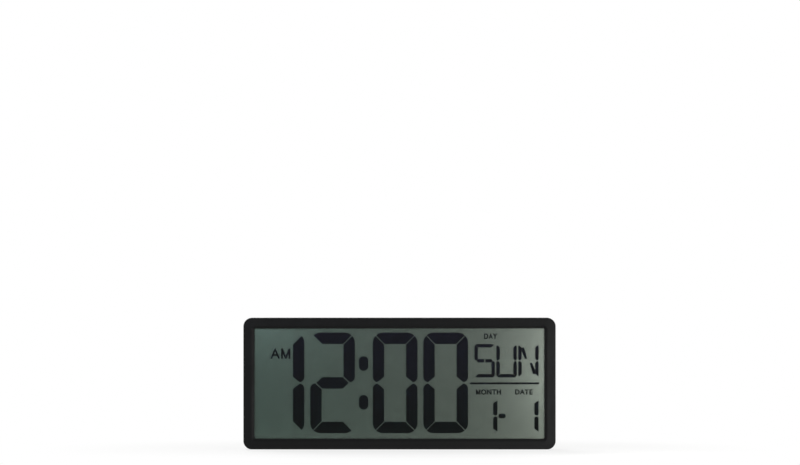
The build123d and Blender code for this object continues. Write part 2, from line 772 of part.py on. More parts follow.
def slide_switch_body():
    """The slide switch on the board, slotted for the knob's stem over its whole travel."""
    top = BOARD_REAR + SLIDE_BODY_DEPTH
    middle_x = SLIDE_X + SLIDE_TRAVEL / 2
    outline = rounded(SLIDE_BODY_LENGTH, SLIDE_BODY_HEIGHT, SOFT_EDGE, middle_x, KEY_Z)
    slot = Pos(middle_x, KEY_Z) * Rectangle(
        KNOB_STEM + SLIDE_TRAVEL + 2 * FIT, KNOB_STEM + 2 * FIT
    )
    return slab(outline, BOARD_REAR, top) - slab(slot, top - SLIDE_SLOT_DEPTH, top + BEYOND)


def alarm_switch_knob():
    """The sliding knob: a ribbed nib in the panel, a plate behind it and a stem."""
    plate_back = PANEL_INSIDE - FIT
    nib = Pos(SLIDE_X, KEY_Z) * Rectangle(KNOB_WIDTH, KNOB_HEIGHT)
    plate = Pos(SLIDE_X, KEY_Z) * Rectangle(
        KNOB_WIDTH + 2 * SLIDE_TRAVEL, KNOB_HEIGHT + 2 * KEY_FLANGE
    )
    stem = Pos(SLIDE_X, KEY_Z) * Rectangle(KNOB_STEM, KNOB_STEM)
    stem_end = BOARD_REAR + SLIDE_BODY_DEPTH - SLIDE_SLOT_DEPTH + FIT
    body = slab(nib, plate_back, KEY_TOP)
    body += slab(plate, plate_back - KNOB_PLATE_THICK, plate_back)
    body += slab(stem, stem_end, plate_back)
    for offset in (-1, 0, 1):
        x = SLIDE_X + offset * KNOB_WIDTH / 3
        groove = Pos(x, KEY_Z) * Rectangle(KNOB_GROOVE_WIDTH, KNOB_HEIGHT)
        body -= slab(groove, KEY_TOP - KNOB_GROOVE_DEPTH, KEY_TOP + BEYOND)
    return body


def rear_envelope():
    """The outside of the rear housing before anything is cut into it."""
    outer = slab(case_outline(0), PARTING, BACK)
    return fillet(edges_at_y(outer, BACK), REAR_EDGE_R)


def rear_housing():
    """The back of the case with its wells, bay, stand tray, panels and keyhole pockets."""
    envelope = rear_envelope()
    inside = slab(case_outline(WALL), PARTING - BEYOND, BACK - WALL)
    inside = fillet(edges_at_y(inside, BACK - WALL), REAR_EDGE_R - WALL)
    groove = case_outline(-BEYOND) - case_outline(PARTING_GROOVE)
    body = envelope - inside - slab(groove, PARTING - BEYOND, PARTING + PARTING_GROOVE)
    body += envelope & inner_structure()
    body += bay_box()
    body += tongue()
    return body - housing_cuts()


def tongue():
    """The lip that locates the housing inside the bezel, broken at every boss."""
    inner = case_outline(WALL + SLIP + TONGUE_THICK)
    lip = slab(case_outline(WALL + SLIP) - inner, PARTING - TONGUE_REACH, PARTING)
    root = slab(case_outline(WALL / 2) - inner, PARTING, PARTING + TONGUE_REACH)
    for x, z in CASE_SCREW_PLACES + HOLDER_SCREW_PLACES:
        gap = 2 * (BOSS_R + 2 * FIT)
        reach = PARTING - TONGUE_REACH - BEYOND
        lip -= slab(Pos(x, z) * Rectangle(gap, gap), reach, PARTING)
        lip -= slab(Pos(x, z) * Rectangle(3 * gap, WEB_THICK + 4 * FIT), reach, PARTING)
    return lip + root


def inner_structure():
    """Everything solid that stands inside the housing's shell."""
    wall_inside = BACK - WALL
    tray = slab(leg_outline(LEG_GAP + TRAY_WALL, True), RECESS_FLOOR - TRAY_WALL, wall_inside + BEYOND)
    parts = tray + hinge_blocks() + notch_tray()
    for x, z in CASE_SCREW_PLACES:
        parts += pin(x, z, WELL_R + WELL_WALL, PARTING, BACK)
    for low, high in panel_spans():
        parts += slab(panel_outline(low, high, WALL), PANEL_INSIDE, BACK)
    for side in (-1, 1):
        parts += slab(pocket_outline(side, POCKET_WALL), pocket_front() - POCKET_WALL, BACK)
    half = DOOR_WIDTH / 2 + RAIL_WIDTH + FIT + SEAT_THICK
    parts += block(-half, half, DOOR_SEAT - SEAT_THICK, BACK, DOOR_BOTTOM - SEAT_THICK, HEIGHT)
    return parts


def bay_box():
    """The walls round the batteries."""
    half = BAY_LENGTH / 2 + BAY_WALL
    return block(-half, half, BAY_FRONT, DOOR_SEAT, BAY_BOTTOM - BAY_WALL, BAY_TOP + BAY_WALL)


def housing_cuts():
    """Everything open in the housing."""
    cuts = slab(leg_outline(LEG_GAP, True), RECESS_FLOOR, BACK + BEYOND)
    cuts += notch_space()
    half = BAY_LENGTH / 2
    cuts += block(-half, half, BAY_INSIDE, BACK + BEYOND, BAY_BOTTOM, BAY_TOP)
    cuts += door_space()
    for x, z in CASE_SCREW_PLACES:
        cuts += pin(x, z, CASE_SCREW_R + HOLE_FIT, PARTING - BEYOND, BACK)
        cuts += pin(x, z, WELL_R, SCREW_SEAT, BACK + BEYOND)
    for low, high in panel_spans():
        cuts += slab(panel_outline(low, high, 0), PANEL_FLOOR, BACK + BEYOND)
    for x in KEY_XS:
        cuts += pin(x, KEY_Z, KEY_R + FIT, PANEL_INSIDE - BEYOND, BACK)
    slot = Pos(SLIDE_X + SLIDE_TRAVEL / 2, KEY_Z) * Rectangle(
        KNOB_WIDTH + SLIDE_TRAVEL + 2 * FIT, KNOB_HEIGHT + 2 * FIT
    )
    cuts += slab(slot, PANEL_INSIDE - BEYOND, BACK)
    for side in (-1, 1):
        cuts += slab(pocket_outline(side, 0), pocket_front(), BACK - WALL)
        cuts += slab(keyhole_outline(side), pocket_front(), BACK + BEYOND)
    for x, z in sound_hole_places():
        cuts += pin(x, z, SOUND_HOLE_R, BACK - 2 * WALL, BACK + BEYOND)
    for z in (UPPER_Z, LOWER_Z):
        hole = Pos(-half - BAY_WALL / 2, lead_y(), z) * Rot(0, 90, 0)
        cuts += hole * Cylinder(LEAD_R + SLIP, BAY_WALL + 2 * SLIP)
    barrel = Pos(0, HINGE_Y, HINGE_Z) * Rot(0, 90, 0)
    reach = LEG_WIDTH / 2 + TRUNNION_LENGTH + LEG_GAP
    return cuts + barrel * Cylinder(TRUNNION_R + SLIP, 2 * reach)


def leg_outline(grow, recess):
    """The stand seen from behind, grown by grow; the recess also runs on above the hinge."""
    top = RECESS_TOP + (grow - LEG_GAP) if recess else HINGE_Z
    bottom = FOOT_Z - grow
    slope = (LEG_WIDTH - FOOT_WIDTH) / 2 / (HINGE_Z - FOOT_Z)
    foot = FOOT_WIDTH / 2 + grow + slope * (bottom - FOOT_Z)
    shoulder = LEG_WIDTH / 2 + grow
    outline = Polygon(
        (-foot, bottom),
        (foot, bottom),
        (shoulder, HINGE_Z),
        (shoulder, top + 1e-3),
        (-shoulder, top + 1e-3),
        (-shoulder, HINGE_Z),
        align=None,
    )
    corners = outline.vertices().sort_by(Axis.Y)[:2]
    return fillet(corners, FOOT_CORNER_R + grow)


def hinge_blocks():
    """Extra wall at each end of the hinge, where the trunnions turn."""
    low = LEG_WIDTH / 2 + LEG_GAP
    high = low + TRUNNION_LENGTH + LEG_GAP + WALL / 2
    z0, z1 = HINGE_Z - HINGE_BLOCK, HINGE_Z + HINGE_BLOCK
    right = block(low, high, RECESS_FLOOR - TRAY_WALL, BACK - WALL, z0, z1)
    return right + mirror(right, Plane.YZ)


def notch_outline(grow):
    """The finger notch beside the foot of the stand."""
    x = FOOT_WIDTH / 2 + NOTCH_WIDTH / 2
    return rounded(NOTCH_WIDTH + 2 * grow, NOTCH_HEIGHT + 2 * grow, NOTCH_R + grow, x, NOTCH_Z)


def notch_space():
    return slab(notch_outline(0), BACK - NOTCH_DEPTH, BACK + BEYOND)


def notch_tray():
    return slab(notch_outline(TRAY_WALL), BACK - NOTCH_DEPTH - TRAY_WALL, BACK - WALL)


def door_space():
    """Where the battery door lies and slides, with a groove for each of its rails."""
    half = DOOR_WIDTH / 2 + FIT
    low = DOOR_BOTTOM - FIT
    space = block(-half, half, DOOR_SEAT, BACK + BEYOND, low, HEIGHT + BEYOND)
    rail_half = half + RAIL_WIDTH
    rail_top = DOOR_FRONT + RAIL_THICK + SLIP
    return space + block(-rail_half, rail_half, DOOR_SEAT, rail_top, low, HEIGHT + BEYOND)


def battery_door():
    """The door: flush with the back, with two rails, grip grooves and an arrow for its way off."""
    half = DOOR_WIDTH / 2
    rail_half = half + RAIL_WIDTH
    plate = block(-half, half, DOOR_FRONT, BACK, DOOR_BOTTOM, DOOR_TOP)
    rails = block(
        -rail_half,
        rail_half,
        DOOR_FRONT,
        DOOR_FRONT + RAIL_THICK,
        DOOR_BOTTOM + RAIL_END,
        DOOR_TOP - 2 * RAIL_END,
    )
    door = rear_envelope() & (plate + rails)
    for i in range(GRIP_COUNT):
        z = BAY_TOP - i * GRIP_PITCH
        grip = Pos(0, z) * SlotOverall(GRIP_LENGTH, GRIP_WIDTH)
        door -= slab(grip, BACK - GRIP_DEPTH, BACK + BEYOND)
    base = BAY_TOP + ARROW_ABOVE_GRIPS
    arrow = Polygon(
        (-ARROW_WIDTH / 2, base), (ARROW_WIDTH / 2, base), (0, base + ARROW_HEIGHT), align=None
    )
    return door - slab(arrow, BACK - GRIP_DEPTH, BACK + BEYOND)


def panel_spans():
    """How far the key panel and the slide switch panel reach along X."""
    slide_middle = SLIDE_X + SLIDE_TRAVEL / 2
    slide_half = (KNOB_WIDTH + SLIDE_TRAVEL) / 2 + PANEL_MARGIN
    return [
        (KEY_XS[0] - PANEL_MARGIN, KEY_XS[-1] + PANEL_MARGIN),
        (slide_middle - slide_half, slide_middle + slide_half),
    ]


def panel_outline(low, high, grow):
    return rounded(
        high - low + 2 * grow, PANEL_HEIGHT + 2 * grow, PANEL_R + grow, (low + high) / 2, KEY_Z
    )


def sound_hole_places():
    yield BUZZER_X, KEY_Z
    for i in range(SOUND_RING_COUNT):
        turn = 2 * pi * i / SOUND_RING_COUNT
        yield BUZZER_X + SOUND_RING_R * cos(turn), KEY_Z + SOUND_RING_R * sin(turn)


def keyhole_outline(side):
    """A round entry with a narrower slot above it, so the clock drops onto a screw."""
    x = side * KEYHOLE_SPACING / 2
    entry = Pos(x, KEYHOLE_Z) * Circle(KEYHOLE_ENTRY_R)
    slot = Pos(x, KEYHOLE_Z + KEYHOLE_RISE / 2) * Rectangle(2 * KEYHOLE_SLOT_R, KEYHOLE_RISE)
    return entry + slot + Pos(x, KEYHOLE_Z + KEYHOLE_RISE) * Circle(KEYHOLE_SLOT_R)


def pocket_outline(side, grow):
    """The blind pocket behind a keyhole, with room for the screw's head."""
    width = 2 * (KEYHOLE_ENTRY_R + POCKET_ROOM)
    height = width + KEYHOLE_RISE
    z = KEYHOLE_Z + KEYHOLE_RISE / 2
    x = side * KEYHOLE_SPACING / 2
    return Pos(x, z) * Rectangle(width + 2 * grow, height + 2 * grow)


def pocket_front():
    return BACK - WALL - POCKET_DEPTH


def stand_leg():
    """The easel leg: a tapered plate, its hinge barrel, two trunnions and the stop heel."""
    plate = slab(leg_outline(0, False), LEG_BACK - LEG_THICK, LEG_BACK)
    barrel_place = Pos(0, HINGE_Y, HINGE_Z) * Rot(0, 90, 0)
    leg = plate + barrel_place * Cylinder(BARREL_R, LEG_WIDTH)
    leg += barrel_place * Cylinder(TRUNNION_R, LEG_WIDTH + 2 * TRUNNION_LENGTH)
    leg += heel()
    for i in range(FOOT_GRIP_COUNT):
        z = NOTCH_Z + (i - (FOOT_GRIP_COUNT - 1) / 2) * FOOT_GRIP_PITCH
        grip = Pos(0, z) * SlotOverall(GRIP_LENGTH, GRIP_WIDTH)
        leg -= slab(grip, LEG_BACK - GRIP_DEPTH, LEG_BACK + BEYOND)
    return leg


def heel():
    """A tab on the barrel that meets the recess floor when the stand is fully open."""
    meets = degrees(acos((HINGE_Y - RECESS_FLOOR) / HEEL_REACH))
    rest = meets + STAND_ANGLE + STAND_STOP_PLAY
    tab = Pos(0, HINGE_Y, HINGE_Z) * Rot(-rest, 0, 0)
    return tab * block(-HEEL_WIDTH / 2, HEEL_WIDTH / 2, -HEEL_REACH, 0, 0, HEEL_THICK)


def battery(z, side):
    """One AA cell lying along X, with its button towards side."""
    place = Pos(battery_x(side), BATTERY_Y, z) * Rot(0, 90 * side, 0)
    can_length = BATTERY_LENGTH - NUB_HEIGHT
    can = Cylinder(BATTERY_R, can_length)
    can = fillet(can.edges().filter_by(GeomType.CIRCLE), BATTERY_EDGE_R)
    nub = Pos(0, 0, can_length / 2 + NUB_HEIGHT / 2) * Cylinder(NUB_R, NUB_HEIGHT)
    return place * Pos(0, 0, -NUB_HEIGHT / 2) * (can + nub)


def battery_x(side):
    """The middle of a cell whose button touches the contact at that end of the bay."""
    return side * (BAY_LENGTH / 2 - PLATE_THICK - BATTERY_LENGTH / 2)


def contact_plate(side, z0, z1):
    """A thin sprung plate against one end wall of the bay."""
    outer = side * BAY_LENGTH / 2
    near, far = sorted([outer, outer - side * PLATE_THICK])
    half = PLATE_WIDTH / 2
    return block(near, far, BATTERY_Y - half, BATTERY_Y + half, z0, z1)


def contact_plates():
    """The two single contacts at the end where the leads leave."""
    for z in (UPPER_Z, LOWER_Z):
        yield contact_plate(-1, z - PLATE_WIDTH / 2, z + PLATE_WIDTH / 2)


def link_contact():
    """The one contact that joins both cells at the other end."""
    return contact_plate(1, LOWER_Z - PLATE_WIDTH / 2, UPPER_Z + PLATE_WIDTH / 2)


def helix_point(turn, radius, pitch):
    """Place and direction on a helix about X, after turn radians."""
    place = Vector(pitch * turn / (2 * pi), radius * cos(turn), radius * sin(turn))
    heading = Vector(pitch / (2 * pi), -radius * sin(turn), radius * cos(turn)).normalized()
    return place, heading


def biarc(start, start_heading, end, end_heading):
    """Two arcs that leave start and reach end along the given directions."""
    chord = end - start
    sum_of = start_heading + end_heading
    spread = 2 * (1 - start_heading.dot(end_heading))
    along = chord.dot(sum_of)
    reach = (-along + sqrt(along**2 + spread * chord.dot(chord))) / spread
    joint = (start + end + (start_heading - end_heading) * reach) * 0.5
    joint_heading = (end - start - (start_heading + end_heading) * reach).normalized()
    first = TangentArc(start, joint, tangent=start_heading)
    return [first, TangentArc(joint, end, tangent=joint_heading)]


def contact_spring(z, side):
    """The coil that presses on a cell's flat end, from the plate at that side of the bay."""
    length = SPRING_LENGTH + PLATE_PLAY - 2 * SPRING_WIRE_R
    pitch = length / SPRING_TURNS
    steps = 4 * SPRING_TURNS
    points = [helix_point(i * pi / 2, SPRING_R, pitch) for i in range(steps + 1)]
    arcs = []
    for (start, out), (end, into) in zip(points, points[1:]):
        arcs += biarc(start, out, end, into)
    path = Wire(arcs)
    section = Plane(origin=points[0][0], z_dir=points[0][1]) * Circle(SPRING_WIRE_R)
    coil = sweep(section, path=path)
    foot = side * (BAY_LENGTH / 2 - PLATE_THICK - SPRING_WIRE_R)
    place = Pos(foot, BATTERY_Y, z)
    return place * (coil if side < 0 else Rot(0, 0, 180) * coil)


def contact_springs():
    yield contact_spring(UPPER_Z, -1)
    yield contact_spring(LOWER_Z, 1)


def lead_y():
    return BATTERY_Y - PLATE_WIDTH / 4


def lead(z, offset):
    """An insulated wire from a contact plate, out of the bay, down and onto the board."""
    start_x = -BAY_LENGTH / 2
    x = start_x - LEAD_OUT - offset
    end_z = BOARD_BOTTOM + BOARD_HEIGHT - LEAD_SPLIT
    points = [
        (start_x, lead_y(), z),
        (x, lead_y(), z),
        (x, lead_y(), end_z),
        (x, BOARD_REAR, end_z),
    ]
    rise = lead_y() - BOARD_REAR
    path = FilletPolyline(*points, radius=[LEAD_BEND_R, min(LEAD_BEND_R, rise * LEAD_LAST_BEND)])
    section = Plane(origin=points[0], z_dir=(-1, 0, 0)) * Circle(LEAD_R)
    return sweep(section, path=path)


def case_screws():
    for x, z in CASE_SCREW_PLACES:
        yield screw(
            x, z, SCREW_SEAT, CASE_HEAD_R, CASE_HEAD_THICK, CASE_SCREW_R, CASE_SCREW_LENGTH
        )


def holder_screws():
    for x, z in HOLDER_SCREW_PLACES:
        yield screw(
            x, z, HOLDER_REAR, HOLDER_HEAD_R, HOLDER_HEAD_THICK, HOLDER_SCREW_R, HOLDER_SCREW_LENGTH
        )


def board_screws():
    for x in BOARD_SCREW_XS:
        yield screw(
            x,
            BOARD_SCREW_Z,
            BOARD_REAR,
            BOARD_HEAD_R,
            BOARD_HEAD_THICK,
            BOARD_SCREW_R,
            BOARD_SCREW_LENGTH,
        )


def every_node():
    """Each node's name and its solid or solids."""
    nodes = {
        "front_bezel": front_bezel(),
        "rear_housing": rear_housing(),
        "display_window": display_window(),
        "window_gasket": window_gasket(),
        "front_polariser": front_polariser(),
        "lcd_front_glass": lcd_front_glass(),
        "lcd_rear_glass": lcd_rear_glass(),
        "lcd_edge_seal": lcd_edge_seal(),
        "rear_reflector": rear_reflector(),
        "time_segments": group(time_segments()),
        "colon_dots": group(colon_dots()),
        "day_segments": group(day_segments()),
        "calendar_segments": group(calendar_ones()),
        "divider_bar": divider_bar(),
        "lcd_holder": lcd_holder(),
        "zebra_strip": zebra_strip(),
        "main_board": main_board(),
        "clock_chip": clock_chip(),
        "crystal_can": crystal_can(),
        "capacitors": group(capacitors()),
        "resistors": group(resistors()),
        "tact_switches": group(tact_switches()),
        "buzzer": buzzer(),
        "slide_switch_body": slide_switch_body(),
        "alarm_switch_knob": alarm_switch_knob(),
        "battery_door": battery_door(),
        "battery_upper": battery(UPPER_Z, 1),
        "battery_lower": battery(LOWER_Z, -1),
        "contact_springs": group(contact_springs()),
        "contact_plates": group(contact_plates()),
        "link_contact": link_contact(),
        "red_lead": lead(LOWER_Z, 0),
        "black_lead": lead(UPPER_Z, LEAD_SPLIT),
        "stand_leg": stand_leg(),
        "case_screws": group(case_screws()),
        "holder_screws": group(holder_screws()),
        "board_screws": group(board_screws()),
    }
    for name, x in zip(KEY_NAMES, KEY_XS):
        nodes[name] = key_button(x)
    return nodes


os.makedirs("parts", exist_ok=True)
for node_name, shape in every_node().items():
    export_step(shape, f"parts/{node_name}.step")
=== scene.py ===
# %% [markdown]
# A jumbo LCD clock
#
# The object is a wide, flat clock for a wall or a table: a black moulded frame round one large
# reflective LCD, with a fold-out leg, a battery door and a row of keys on its back. The packed
# CAD model already has every moulding in its real place and size, so this lesson leaves those
# shapes alone. It gives each of them its finish, and models what the mouldings don't have: the
# words in the display, the printed legends, the marks by the battery contacts and the two dry
# cells with their sleeves.

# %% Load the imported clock
import math

import bpy
from mathutils import Matrix, Vector


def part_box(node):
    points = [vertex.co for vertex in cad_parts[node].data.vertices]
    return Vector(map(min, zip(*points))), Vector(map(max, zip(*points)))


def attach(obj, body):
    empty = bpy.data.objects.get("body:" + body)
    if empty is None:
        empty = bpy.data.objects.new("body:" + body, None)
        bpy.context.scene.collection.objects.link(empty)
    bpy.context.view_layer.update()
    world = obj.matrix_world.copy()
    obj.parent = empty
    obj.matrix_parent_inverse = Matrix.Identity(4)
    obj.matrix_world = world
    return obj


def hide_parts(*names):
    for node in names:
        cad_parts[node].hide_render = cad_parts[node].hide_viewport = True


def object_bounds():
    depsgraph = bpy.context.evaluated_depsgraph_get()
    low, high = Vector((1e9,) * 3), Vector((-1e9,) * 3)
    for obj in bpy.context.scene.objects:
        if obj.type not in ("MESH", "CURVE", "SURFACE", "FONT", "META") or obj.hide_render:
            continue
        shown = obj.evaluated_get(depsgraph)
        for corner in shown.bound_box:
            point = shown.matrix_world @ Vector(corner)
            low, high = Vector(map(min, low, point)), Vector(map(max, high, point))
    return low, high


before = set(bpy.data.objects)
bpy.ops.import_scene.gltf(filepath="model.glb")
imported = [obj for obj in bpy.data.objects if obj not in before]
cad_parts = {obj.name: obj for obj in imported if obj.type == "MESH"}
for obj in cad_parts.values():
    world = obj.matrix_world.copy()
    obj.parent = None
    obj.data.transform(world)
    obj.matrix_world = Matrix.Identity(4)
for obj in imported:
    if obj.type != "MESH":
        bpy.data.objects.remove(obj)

cad_low, cad_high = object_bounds()
print("clock, mm:", [round(1000 * side, 1) for side in cad_high - cad_low])

# %% [markdown]
# Millimetres and colours
#
# Blender works in metres, but a clock is drawn in millimetres. `mm` turns one into the other,
# so that sizes below read as they would on a drawing. Colours are written as the hex values
# that a paint program shows. Those are sRGB, and shaders want linear light, so one function
# converts them.

# %% Two small helpers
def mm(value):
    """Millimetres to metres."""
    return value / 1000


def colour(code, alpha=1.0):
    """A hex sRGB colour as the linear values that a shader socket takes."""
    channels = [int(code[i : i + 2], 16) / 255 for i in (1, 3, 5)]
    return [c / 12.92 if c <= 0.04045 else ((c + 0.055) / 1.055) ** 2.4 for c in channels] + [alpha]


WHITE = "#ffffff"
print("middle grey as a shader takes it:", [round(c, 3) for c in colour("#808080")])

# %% [markdown]
# The camera
#
# The clock is seen square on, with its upright edges parallel and almost nothing of its sides
# showing. That is a long lens from far away. A short lens close up would show the inner walls
# of the frame and swell the middle. The camera looks level along +Y. It stands higher than the
# clock, which is why the clock lies low in the picture without any lens shift.

# %% Camera
PICTURE_WIDTH = 800
PIXELS_PER_MM = 0.8488
LENS_MM = 300
SENSOR_MM = 36
CAMERA_X = 0.55
CAMERA_Z = 255.6
FAR_CLIP_METRES = 60

camera_data = bpy.data.cameras.new("camera")
camera_data.lens = LENS_MM
camera_data.sensor_width = SENSOR_MM
camera_data.clip_end = FAR_CLIP_METRES
camera = bpy.data.objects.new("camera", camera_data)
bpy.context.scene.collection.objects.link(camera)
distance = PICTURE_WIDTH * LENS_MM / (SENSOR_MM * PIXELS_PER_MM)
camera.location = (mm(CAMERA_X), cad_low.y - mm(distance), mm(CAMERA_Z))
camera.rotation_euler = (math.radians(90), 0, 0)
bpy.context.scene.camera = camera
print("camera distance, m:", round(distance / 1000, 2))

# %% [markdown]
# One way to write a shader
#
# A material is a small network of nodes. `add` makes one node, sets its options, fills its
# sockets with values or links, and returns it, so each finish below reads as a short list.
# `finish` starts a material from the shader that nearly every real surface can use, and
# `surface` is for the few that need another one.

# %% Shader helpers
def add(tree, kind, sockets=None, **options):
    """One node with its options set and its sockets given a value or a link."""
    node = tree.nodes.new(kind)
    for name, value in options.items():
        setattr(node, name, value)
    for name, value in (sockets or {}).items():
        if isinstance(value, bpy.types.NodeSocket):
            tree.links.new(value, node.inputs[name])
        else:
            node.inputs[name].default_value = value
    return node


def finish(name, base, roughness, metallic=0.0, ior=1.5, shine=0.5):
    """A new material with a Principled shader: its node tree and that shader."""
    material = bpy.data.materials.new(name)
    material.use_nodes = True
    shader = material.node_tree.nodes["Principled BSDF"]
    shader.inputs["Base Color"].default_value = colour(base)
    shader.inputs["Roughness"].default_value = roughness
    shader.inputs["Metallic"].default_value = metallic
    shader.inputs["IOR"].default_value = ior
    shader.inputs["Specular IOR Level"].default_value = shine
    return material, material.node_tree, shader


def surface(tree, shader):
    """Make a shader node the one that the material shows."""
    tree.links.new(shader.outputs[0], tree.nodes["Material Output"].inputs["Surface"])


def dress(material, *nodes):
    """Give CAD nodes a finish, in every material slot they have."""
    for name in nodes:
        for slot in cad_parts[name].material_slots:
            slot.material = material


print("CAD nodes to dress:", len(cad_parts))

# %% [markdown]
# What each ray should see
#
# The clock stands alone on white, but a room that is white for every ray would light it flat
# and wash out its window. A shader can ask what kind of ray has met it. So one helper, for the
# floor and for the room, finds the rays that should see plain white, from the camera or through
# a clear sheet, and the rays that a shiny surface has mirrored.

# %% Which ray is asking
def white_rays(tree):
    """Sockets that are 1 for a ray that should see plain white, and for a mirrored one."""
    rays = add(tree, "ShaderNodeLightPath")
    seen = add(
        tree,
        "ShaderNodeMath",
        {0: rays.outputs["Is Camera Ray"], 1: rays.outputs["Is Transmission Ray"]},
        use_clamp=True,
    )
    return seen.outputs[0], rays.outputs["Is Glossy Ray"]


print("helper for the floor and the room:", white_rays.__name__)

# %% [markdown]
# The floor
#
# The floor is plain white where the camera sees it, yet it lights the clock only softly. Near
# the clock it keeps a part of its real shading, so that the clock has a shadow to stand on.
# Further out that part fades, so no edge shows where the floor ends. Its lengths are in
# metres, except the gap in millimetres that keeps it clear of the clock.

# %% Floor and how far its shadow reaches
FLOOR_SIZE = 60
FLOOR_GAP_MM = 0.05
SHADOW_SHARE = 0.3
SHADOW_REACH = (0.22, 0.46)

bpy.ops.mesh.primitive_plane_add(size=FLOOR_SIZE, location=(0, 0, mm(-FLOOR_GAP_MM)))
floor = bpy.context.object
floor.name = "floor"
paper, tree, shader = finish("white_studio_paper", "#f4f4f2", roughness=0.9)
seen, mirrored = white_rays(tree)
where = add(tree, "ShaderNodeTexCoord").outputs["Object"]
far = add(tree, "ShaderNodeVectorMath", {0: where}, operation="LENGTH")
plain = add(
    tree,
    "ShaderNodeMapRange",
    {
        "Value": far.outputs["Value"],
        "From Min": SHADOW_REACH[0],
        "From Max": SHADOW_REACH[1],
        "To Min": 1 - SHADOW_SHARE,
        "To Max": 1.0,
    },
    interpolation_type="SMOOTHSTEP",
)
print("floor, m:", FLOOR_SIZE, "shadow reaches, m:", SHADOW_REACH)

# %% [markdown]
# The floor in a reflection
#
# A mirrored ray sees the floor get darker towards the camera's side, as in a product studio,
# because the flat window would otherwise mirror a white floor and wash out the display. The
# two shares of plain white, for the camera and for reflections, never meet in one ray, so the
# larger one is taken.

# %% White floor
DARK_SIDE_Y = -0.9
BRIGHT_SIDE_Y = 0.1
FRONT_LEVEL = 0.18
NEAR_LEVEL = 0.6

side = add(tree, "ShaderNodeSeparateXYZ", {0: where})
front = add(
    tree,
    "ShaderNodeMapRange",
    {
        "Value": side.outputs["Y"],
        "From Min": DARK_SIDE_Y,
        "From Max": BRIGHT_SIDE_Y,
        "To Min": FRONT_LEVEL,
        "To Max": NEAR_LEVEL,
    },
    interpolation_type="SMOOTHSTEP",
)
strength = add(tree, "ShaderNodeMix", {"Factor": mirrored, "A": 1.0, "B": front.outputs["Result"]})
white = add(
    tree,
    "ShaderNodeEmission",
    {"Color": colour(WHITE), "Strength": strength.outputs["Result"]},
)
shown = add(
    tree,
    "ShaderNodeMath",
    {0: seen, 1: plain.outputs["Result"]},
    operation="MULTIPLY",
)
share = add(tree, "ShaderNodeMath", {0: shown.outputs[0], 1: mirrored}, operation="MAXIMUM")
mixed = add(
    tree, "ShaderNodeMixShader", {0: share.outputs[0], 1: shader.outputs[0], 2: white.outputs[0]}
)
surface(tree, mixed)
paper.cycles.emission_sampling = "NONE"
floor.data.materials.append(paper)
print("floor levels when mirrored:", FRONT_LEVEL, NEAR_LEVEL)

# %% [markdown]
# The white room
#
# The world does the same all round: white where it is seen, an even soft fill where it lights,
# and dark behind the camera where it is mirrored. Here the direction of the ray stands in for
# the place on the floor.

# %% World
FILL = 0.60
BRIGHT_SIDE = 0.6
DARK_WAY = -0.85
BRIGHT_WAY = 0.1

world = bpy.data.worlds.new("white_room")
bpy.context.scene.world = world
world.use_nodes = True
tree = world.node_tree
tree.nodes.clear()
seen, mirrored = white_rays(tree)
direction = add(tree, "ShaderNodeTexCoord")
parts = add(tree, "ShaderNodeSeparateXYZ", {0: direction.outputs["Generated"]})
around = add(
    tree,
    "ShaderNodeMapRange",
    {
        "Value": parts.outputs["Y"],
        "From Min": DARK_WAY,
        "From Max": BRIGHT_WAY,
        "To Min": FRONT_LEVEL,
        "To Max": BRIGHT_SIDE,
    },
    interpolation_type="SMOOTHSTEP",
)
unseen = add(tree, "ShaderNodeMix", {"Factor": mirrored, "A": FILL, "B": around.outputs["Result"]})
level = add(tree, "ShaderNodeMix", {"Factor": seen, "A": unseen.outputs["Result"], "B": 1.0})
room = add(
    tree, "ShaderNodeBackground", {"Color": colour(WHITE), "Strength": level.outputs["Result"]}
)
add(tree, "ShaderNodeOutputWorld", {"Surface": room.outputs[0]})
print("world:", world.name)

# %% [markdown]
# The lamps
#
# The display is even on its left half and gets quickly lighter towards its right end, with no
# mirror image in the window. That is a narrow upright light close to the clock, just outside
# the patch of room that the window mirrors. The pearly film behind the window spreads it. The
# top of the display is paler and bluer on the left, as under a window high up on that side.
# A low lamp on the right gives the frame its lighter right corners, and a weak one above lifts
# its upper edges. One lamp behind lights the back for the other views.

# %% Lamps
LAMPS_AIM_AT = Vector((0, 0, 0.08))


def softbox(name, place, size, watts, tone=WHITE, tall=None):
    """An area lamp that faces the clock and isn't seen by the camera itself. Sizes in metres."""
    data = bpy.data.lights.new(name, "AREA")
    data.shape = "RECTANGLE"
    data.size = size
    data.size_y = tall or size
    data.energy = watts
    data.color = colour(tone)[:3]
    lamp = bpy.data.objects.new(name, data)
    bpy.context.scene.collection.objects.link(lamp)
    lamp.location = place
    lamp.rotation_euler = (LAMPS_AIM_AT - Vector(place)).to_track_quat("-Z", "Y").to_euler()
    lamp.visible_camera = False
    return lamp


lamps = [
    softbox("strip_on_the_right", place=(0.26, -0.75, 0.06), size=0.05, watts=0.26, tall=0.14),
    softbox("low_right", place=(0.37, -0.34, 0.04), size=0.2, watts=1.2),
    softbox("high_left", place=(-0.25, -0.50, 0.29), size=0.2, watts=0.57, tone="#f0f3ff"),
    softbox("above", place=(0.30, -0.90, 1.70), size=1.0, watts=0.3),
    softbox("behind", place=(-1.0, 2.8, 1.9), size=1.8, watts=60),
]
print("lamps:", [lamp.name for lamp in lamps])

# %% [markdown]
# Moulded black ABS
#
# The frame, the back, the leg and the door are injection moulded ABS. The steel mould is spark
# eroded, which leaves a fine even grain of about a quarter of a millimetre. It gives the
# plastic a satin look, with a broad soft highlight instead of a mirror. Handling leaves faint
# smoother patches. A bump texture does the grain and a slow noise varies the roughness. The
# pits of the grain are painted a little darker and its tops a little lighter: painted shade.

# %% How a moulded finish is made
# The values of a noise texture lie mostly between these two
NOISE_LOW = 0.3
NOISE_HIGH = 0.7
